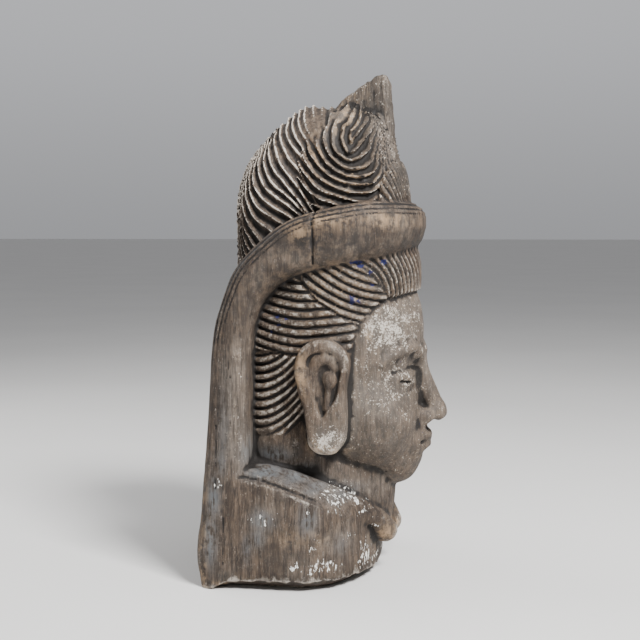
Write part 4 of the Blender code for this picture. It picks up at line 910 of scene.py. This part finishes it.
class Nodes:
    """Short way to lay out the nodes of a finish or of the room's light."""

    def __init__(self, owner, shader="Principled BSDF"):
        owner.use_nodes = True
        self.tree = owner.node_tree
        self.shader = self.tree.nodes[shader]

    def add(self, kind, inputs, output=0, **settings):
        """A node with its inputs set or joined; gives back one of its outputs."""
        node = self.tree.nodes.new(kind)
        for name, value in settings.items():
            setattr(node, name, value)
        for name, value in inputs.items():
            self.join(value, node.inputs[name])
        return node.outputs[output]

    def join(self, value, socket):
        """Link a socket, or set its value."""
        if isinstance(value, bpy.types.NodeSocket):
            self.tree.links.new(value, socket)
        else:
            socket.default_value = value

    def attribute(self, name):
        """A number kept on the mesh."""
        return self.add("ShaderNodeAttribute", {}, output="Fac", attribute_name=name)

    def noise(self, vector, scale, detail=4.0, roughness=0.55, distortion=0.0):
        """Noise from 0 to 1."""
        inputs = {"Vector": vector, "Scale": scale, "Detail": detail, "Roughness": roughness,
                  "Distortion": distortion}
        return self.add("ShaderNodeTexNoise", inputs, output="Fac")

    def math(self, operation, a, b=0.0, clamp=False):
        """One sum."""
        return self.add("ShaderNodeMath", {0: a, 1: b}, operation=operation, use_clamp=clamp)

    def fit(self, value, low, high, to_low=0.0, to_high=1.0):
        """Stretch a range to another one, smoothly and with its ends held."""
        inputs = {"Value": value, "From Min": low, "From Max": high, "To Min": to_low, "To Max": to_high}
        return self.add("ShaderNodeMapRange", inputs, interpolation_type="SMOOTHSTEP", clamp=True)

    def times(self, a, b):
        """Product of two values."""
        return self.math("MULTIPLY", a, b)

    def plus(self, a, b):
        """Sum of two values."""
        return self.math("ADD", a, b)

    def mixed(self, a, b, share):
        """Two values together, with the share that the first one has."""
        return self.plus(self.times(a, share), self.times(b, 1 - share))

    def cover(self, amount, under, tone):
        """A colour over what is under it, by an amount from 0 to 1."""
        return self.add("ShaderNodeMix", {0: amount, 6: under, 7: colour(tone)}, output=2, data_type="RGBA")


def colour(value):
    """A colour with full opacity."""
    return (*value, 1.0)


def weathered_wood(f):
    """Old carved wood: grain and rings, bleached ridges, painted shade in the grooves and under the band, and
    remains of ground and paint.
    """
    material = bpy.data.materials.new("weathered_wood_grain")
    n = Nodes(material)
    here = n.add("ShaderNodeTexCoord", {}, output="Object")
    grain_way = n.add("ShaderNodeMapping", {"Vector": here, "Scale": (1.0, 1.0, 0.085)})
    fibres = n.noise(grain_way, 420.0, 6.0, 0.62, 0.6)
    threads = n.noise(grain_way, 1500.0, 4.0, 0.7)
    broad = n.noise(here, 26.0, 5.0, 0.6)
    mottled = n.noise(here, 130.0, 6.0, 0.65)
    speck = n.noise(here, 640.0, 5.0, 0.72)
    grit = n.noise(here, 1900.0, 3.0, 0.7)
    ridge, hollow = n.attribute("ridge"), n.attribute("hollow")

    # growth rings round the log's heart
    heart = {"Vector": here, "Location": (0.010, -0.035, 0.0), "Scale": (1.0, 1.0, 0.0)}
    flat = n.add("ShaderNodeMapping", heart)
    radius = n.add("ShaderNodeVectorMath", {0: flat}, output="Value", operation="LENGTH")
    wavy = n.times(n.noise(grain_way, 55.0, 3.0), 0.010)
    ring = n.fit(n.math("FRACT", n.times(n.plus(radius, wavy), 260.0)), 0.72, 0.97)

    # bare wood, with grime and dust, and painted shade with darker wood in the patches listed for it
    wood = n.cover(n.fit(n.mixed(fibres, mottled, 0.62), 0.38, 0.62), colour(f.shade_wood), f.heartwood)
    wood = n.cover(n.times(n.fit(broad, 0.45, 0.70), 0.10), wood, f.bleached)
    wood = n.cover(n.times(ring, 0.30), wood, f.shade_wood)
    wood = n.cover(n.times(n.fit(threads, 0.52, 0.70), 0.14), wood, f.bleached)
    grime = n.fit(n.noise(here, 75.0, 7.0, 0.70, 0.3), 0.50, 0.64)
    wood = n.cover(n.times(grime, 0.50), wood, f.shade_wood)
    dust = n.fit(n.mixed(speck, threads, 0.65), 0.56, 0.65)
    wood = n.cover(n.times(dust, 0.26), wood, f.bleached)
    # painted shade, with darker wood, under the band, on the jaw and neck and along the foot
    shade_and_dark_wood = n.times(n.attribute("shade_and_dark"), n.fit(mottled, 0.42, 0.60, 1.0, 0.55))
    wood = n.cover(shade_and_dark_wood, wood, f.dirt_and_shade)

    # bleached ridges and rubbed edges
    proud = n.fit(n.plus(ridge, n.times(n.math("SUBTRACT", speck, 0.5), 0.8)), 0.28, 0.66)
    paled = n.times(proud, n.fit(n.attribute("weathered"), 0.0, 1.0, 0.60, 1.0))
    wood = n.cover(n.times(paled, 0.95), wood, f.bleached)
    rubbed = n.times(n.attribute("rubbed"), n.fit(mottled, 0.40, 0.60))
    rubbed = n.times(rubbed, n.fit(hollow, 0.05, 0.30, 1.0, 0.0))
    wood = n.cover(n.times(rubbed, 0.80), wood, f.worn_wood)

    # dark streaks and thin drying checks along the grain
    streaked = n.attribute("streaked")
    streak = n.times(n.fit(n.noise(grain_way, 190.0, 6.0, 0.66, 0.5), 0.47, 0.58), streaked)
    wood = n.cover(n.times(streak, 0.75), wood, f.shade_wood)
    thin = n.math("ABSOLUTE", n.math("SUBTRACT", n.noise(grain_way, 330.0, 3.0, 0.5, 0.4), 0.5))
    check = n.times(n.fit(thin, 0.004, 0.016, 1.0, 0.0), streaked)
    wood = n.cover(n.times(check, 0.70), wood, f.dirt_and_shade)

    # stains
    stained = n.times(n.attribute("stained"), n.fit(n.plus(mottled, fibres), 0.80, 1.06))
    wood = n.cover(n.times(stained, 0.85), wood, f.stain)

    # pale ground: a thin wash, and crusts and specks of what is left
    left = n.times(n.attribute("ground"), f.ground_amount)
    wood = n.cover(n.times(left, 0.12), wood, f.ground)
    worth = n.plus(n.mixed(speck, mottled, 0.60), n.times(left, 0.20))
    crust = n.times(n.fit(worth, 0.640, 0.690), n.fit(left, 0.02, 0.25))
    wood = n.cover(n.times(crust, 0.85), wood, f.ground)

    # painted shade in the grooves and hollows, and dark pits in the wood
    sunk_amount = n.plus(hollow, n.times(n.math("SUBTRACT", mottled, 0.5), 0.35))
    hollow_shade = n.math("MULTIPLY", n.fit(sunk_amount, 0.05, 0.34), f.hollow_shade_amount, clamp=True)
    wood = n.cover(n.times(hollow_shade, 0.96), wood, f.dirt_and_shade)
    pits = n.times(n.fit(grit, 0.60, 0.74), 0.5)
    wood = n.cover(pits, wood, f.dirt_and_shade)

    # flakes of white and traces of blue
    upright = n.add("ShaderNodeMapping", {"Vector": here, "Scale": (1.0, 1.0, 0.50)})
    flaked = n.attribute("flaked")
    worth = n.plus(n.noise(upright, 380.0, 4.0, 0.62), n.times(flaked, 0.20))
    flake = n.times(n.fit(worth, 0.670, 0.700), n.fit(flaked, 0.02, 0.15))
    wood = n.cover(flake, wood, f.flakes)
    worth = n.plus(n.noise(here, 520.0, 3.0, 0.6), n.times(n.attribute("painted"), 0.45))
    blue = n.fit(worth, 0.70, 0.76)
    wood = n.cover(n.times(blue, 0.92), wood, f.paint)

    n.join(wood, n.shader.inputs["Base Color"])
    rough = n.plus(n.fit(mottled, 0.3, 0.7, 0.62, 0.82), n.times(crust, 0.10))
    rough = n.math("SUBTRACT", rough, n.times(paled, 0.12), clamp=True)
    n.join(rough, n.shader.inputs["Roughness"])
    n.shader.inputs["Specular IOR Level"].default_value = 0.35

    # fine relief: fibres, pits, rings and the thickness of what is left on the wood
    height = n.times(fibres, 0.55)
    for source, weight in (
            (threads, 0.30), (speck, 0.40), (crust, 0.22), (flake, 0.30), (blue, 0.15),
            (ring, -0.12), (pits, -0.50), (check, -0.60), (grime, -0.25)):
        height = n.plus(height, n.times(source, weight))
    bump = n.add("ShaderNodeBump", {"Strength": 0.85, "Distance": 0.0006, "Height": height})
    n.join(bump, n.shader.inputs["Normal"])
    return material


def pale_floor(tone):
    """Plain matt floor with a hint of unevenness."""
    material = bpy.data.materials.new("pale_floor")
    n = Nodes(material)
    here = n.add("ShaderNodeTexCoord", {}, output="Object")
    cloudy = n.fit(n.noise(here, 2.5, 3.0), 0.3, 0.7)
    n.join(n.cover(cloudy, colour([0.97 * c for c in tone]), tone), n.shader.inputs["Base Color"])
    n.shader.inputs["Roughness"].default_value = 0.8
    return material


def soft_room(g):
    """Even light from all round, stronger from the side behind the head."""
    world = bpy.data.worlds.new("soft_room")
    n = Nodes(world, "Background")
    way = n.add("ShaderNodeTexCoord", {}, output="Generated")
    parts = n.add("ShaderNodeSeparateXYZ", {"Vector": way}).node.outputs
    spread = n.fit(parts["X"], 0.0, 0.8, g.sky_strength, g.backdrop)
    # dimmer at the horizon, so the floor ends without a hard line
    rise = n.fit(parts["Z"], -0.03, 0.22, 0.62, 1.0)
    n.join(n.times(spread, rise), n.shader.inputs["Strength"])
    n.join(colour(g.sky), n.shader.inputs["Color"])
    return world


def pointed(scene, data, place, ahead):
    """A lamp or camera at its place, looking ahead."""
    thing = bpy.data.objects.new(data.name, data)
    thing.location = place
    thing.rotation_mode = "QUATERNION"
    thing.rotation_quaternion = ahead.to_track_quat("-Z", "Y")
    scene.collection.objects.link(thing)
    return thing


class HEAD_OT_carving(Operator):
    """Build the carved wood and give it its finish"""
    bl_idname = "carved_head.carving"
    bl_label = "Carved wood"

    def execute(self, context):
        s, f = context.scene.head_sizes, context.scene.head_finish
        step = s.step * 1.0
        mesh = meshed(sampled(lambda x, y, z: carving(s, x, y, z), step), step, PIECE)
        piece = bpy.data.objects.new(PIECE, mesh)
        context.scene.collection.objects.link(piece)
        keep_outer_shell(mesh)
        weather(s, mesh)
        if len(mesh.polygons) * 2 > s.triangles:
            mesh = thinned(piece, s.triangles)
        mesh.shade_smooth()
        note_wear(s, mesh)
        mesh.materials.append(weathered_wood(f))
        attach(piece, "root")
        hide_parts(NODE)
        if not FEWEST < len(mesh.polygons) < MOST:
            raise RuntimeError("the carving came out with the wrong number of faces")
        return {"FINISHED"}


class HEAD_OT_stage(Operator):
    """Set out the floor, the lamps and the camera"""
    bl_idname = "carved_head.stage"
    bl_label = "Floor, light and camera"

    def execute(self, context):
        scene, g = context.scene, context.scene.head_stage
        floor_mesh = bpy.data.meshes.new("floor")
        shape = bmesh.new()
        bmesh.ops.create_grid(shape, x_segments=8, y_segments=8, size=FLOOR_REACH)
        shape.to_mesh(floor_mesh)
        shape.free()
        floor = bpy.data.objects.new("floor", floor_mesh)
        scene.collection.objects.link(floor)
        floor_mesh.materials.append(pale_floor(g.floor))

        scene.world = soft_room(g)
        for name, place, power, side in (
                ("key_lamp", KEY_PLACE, g.key_power, g.key_size),
                ("back_lamp", BACK_PLACE, BACK_SHARE * g.key_power, BACK_SIZE)):
            lamp = bpy.data.lights.new(name, "AREA")
            lamp.energy = power
            lamp.size = side
            pointed(scene, lamp, place, Vector(LIT_PLACE) - Vector(place))

        camera = bpy.data.cameras.new("camera")
        camera.sensor_width = 36.0
        camera.lens = g.lens
        level = math.cos(g.camera_dip)
        ahead = Vector((
            math.cos(g.camera_turn) * level, math.sin(g.camera_turn) * level, -math.sin(g.camera_dip)))
        scene.camera = pointed(scene, camera, g.camera_place, ahead)
        return {"FINISHED"}


class HEAD_PT_panel(Panel):
    """Sizes, colours and buttons for the carved head"""
    bl_idname = "HEAD_PT_panel"
    bl_label = "Carved head"
    bl_space_type = "VIEW_3D"
    bl_region_type = "UI"
    bl_category = "Carved head"

    def draw(self, context):
        for title, group in (
                ("Sizes", context.scene.head_sizes), ("Finish", context.scene.head_finish),
                ("Stage", context.scene.head_stage)):
            box = self.layout.box()
            box.label(text=title)
            for name in type(group).__annotations__:
                box.prop(group, name)
        self.layout.operator(HEAD_OT_carving.bl_idname)
        self.layout.operator(HEAD_OT_stage.bl_idname)


CLASSES = (HeadSizes, HeadFinish, HeadStage, HEAD_OT_carving, HEAD_OT_stage, HEAD_PT_panel)


def register():
    for kind in CLASSES:
        bpy.utils.register_class(kind)
    bpy.types.Scene.head_sizes = PointerProperty(type=HeadSizes)
    bpy.types.Scene.head_finish = PointerProperty(type=HeadFinish)
    bpy.types.Scene.head_stage = PointerProperty(type=HeadStage)


def unregister():
    del bpy.types.Scene.head_stage
    del bpy.types.Scene.head_finish
    del bpy.types.Scene.head_sizes
    for kind in reversed(CLASSES):
        bpy.utils.unregister_class(kind)


def main():
    """Build everything in order."""
    register()
    bpy.ops.carved_head.carving()
    bpy.ops.carved_head.stage()


if __name__ == "__main__":
    main()
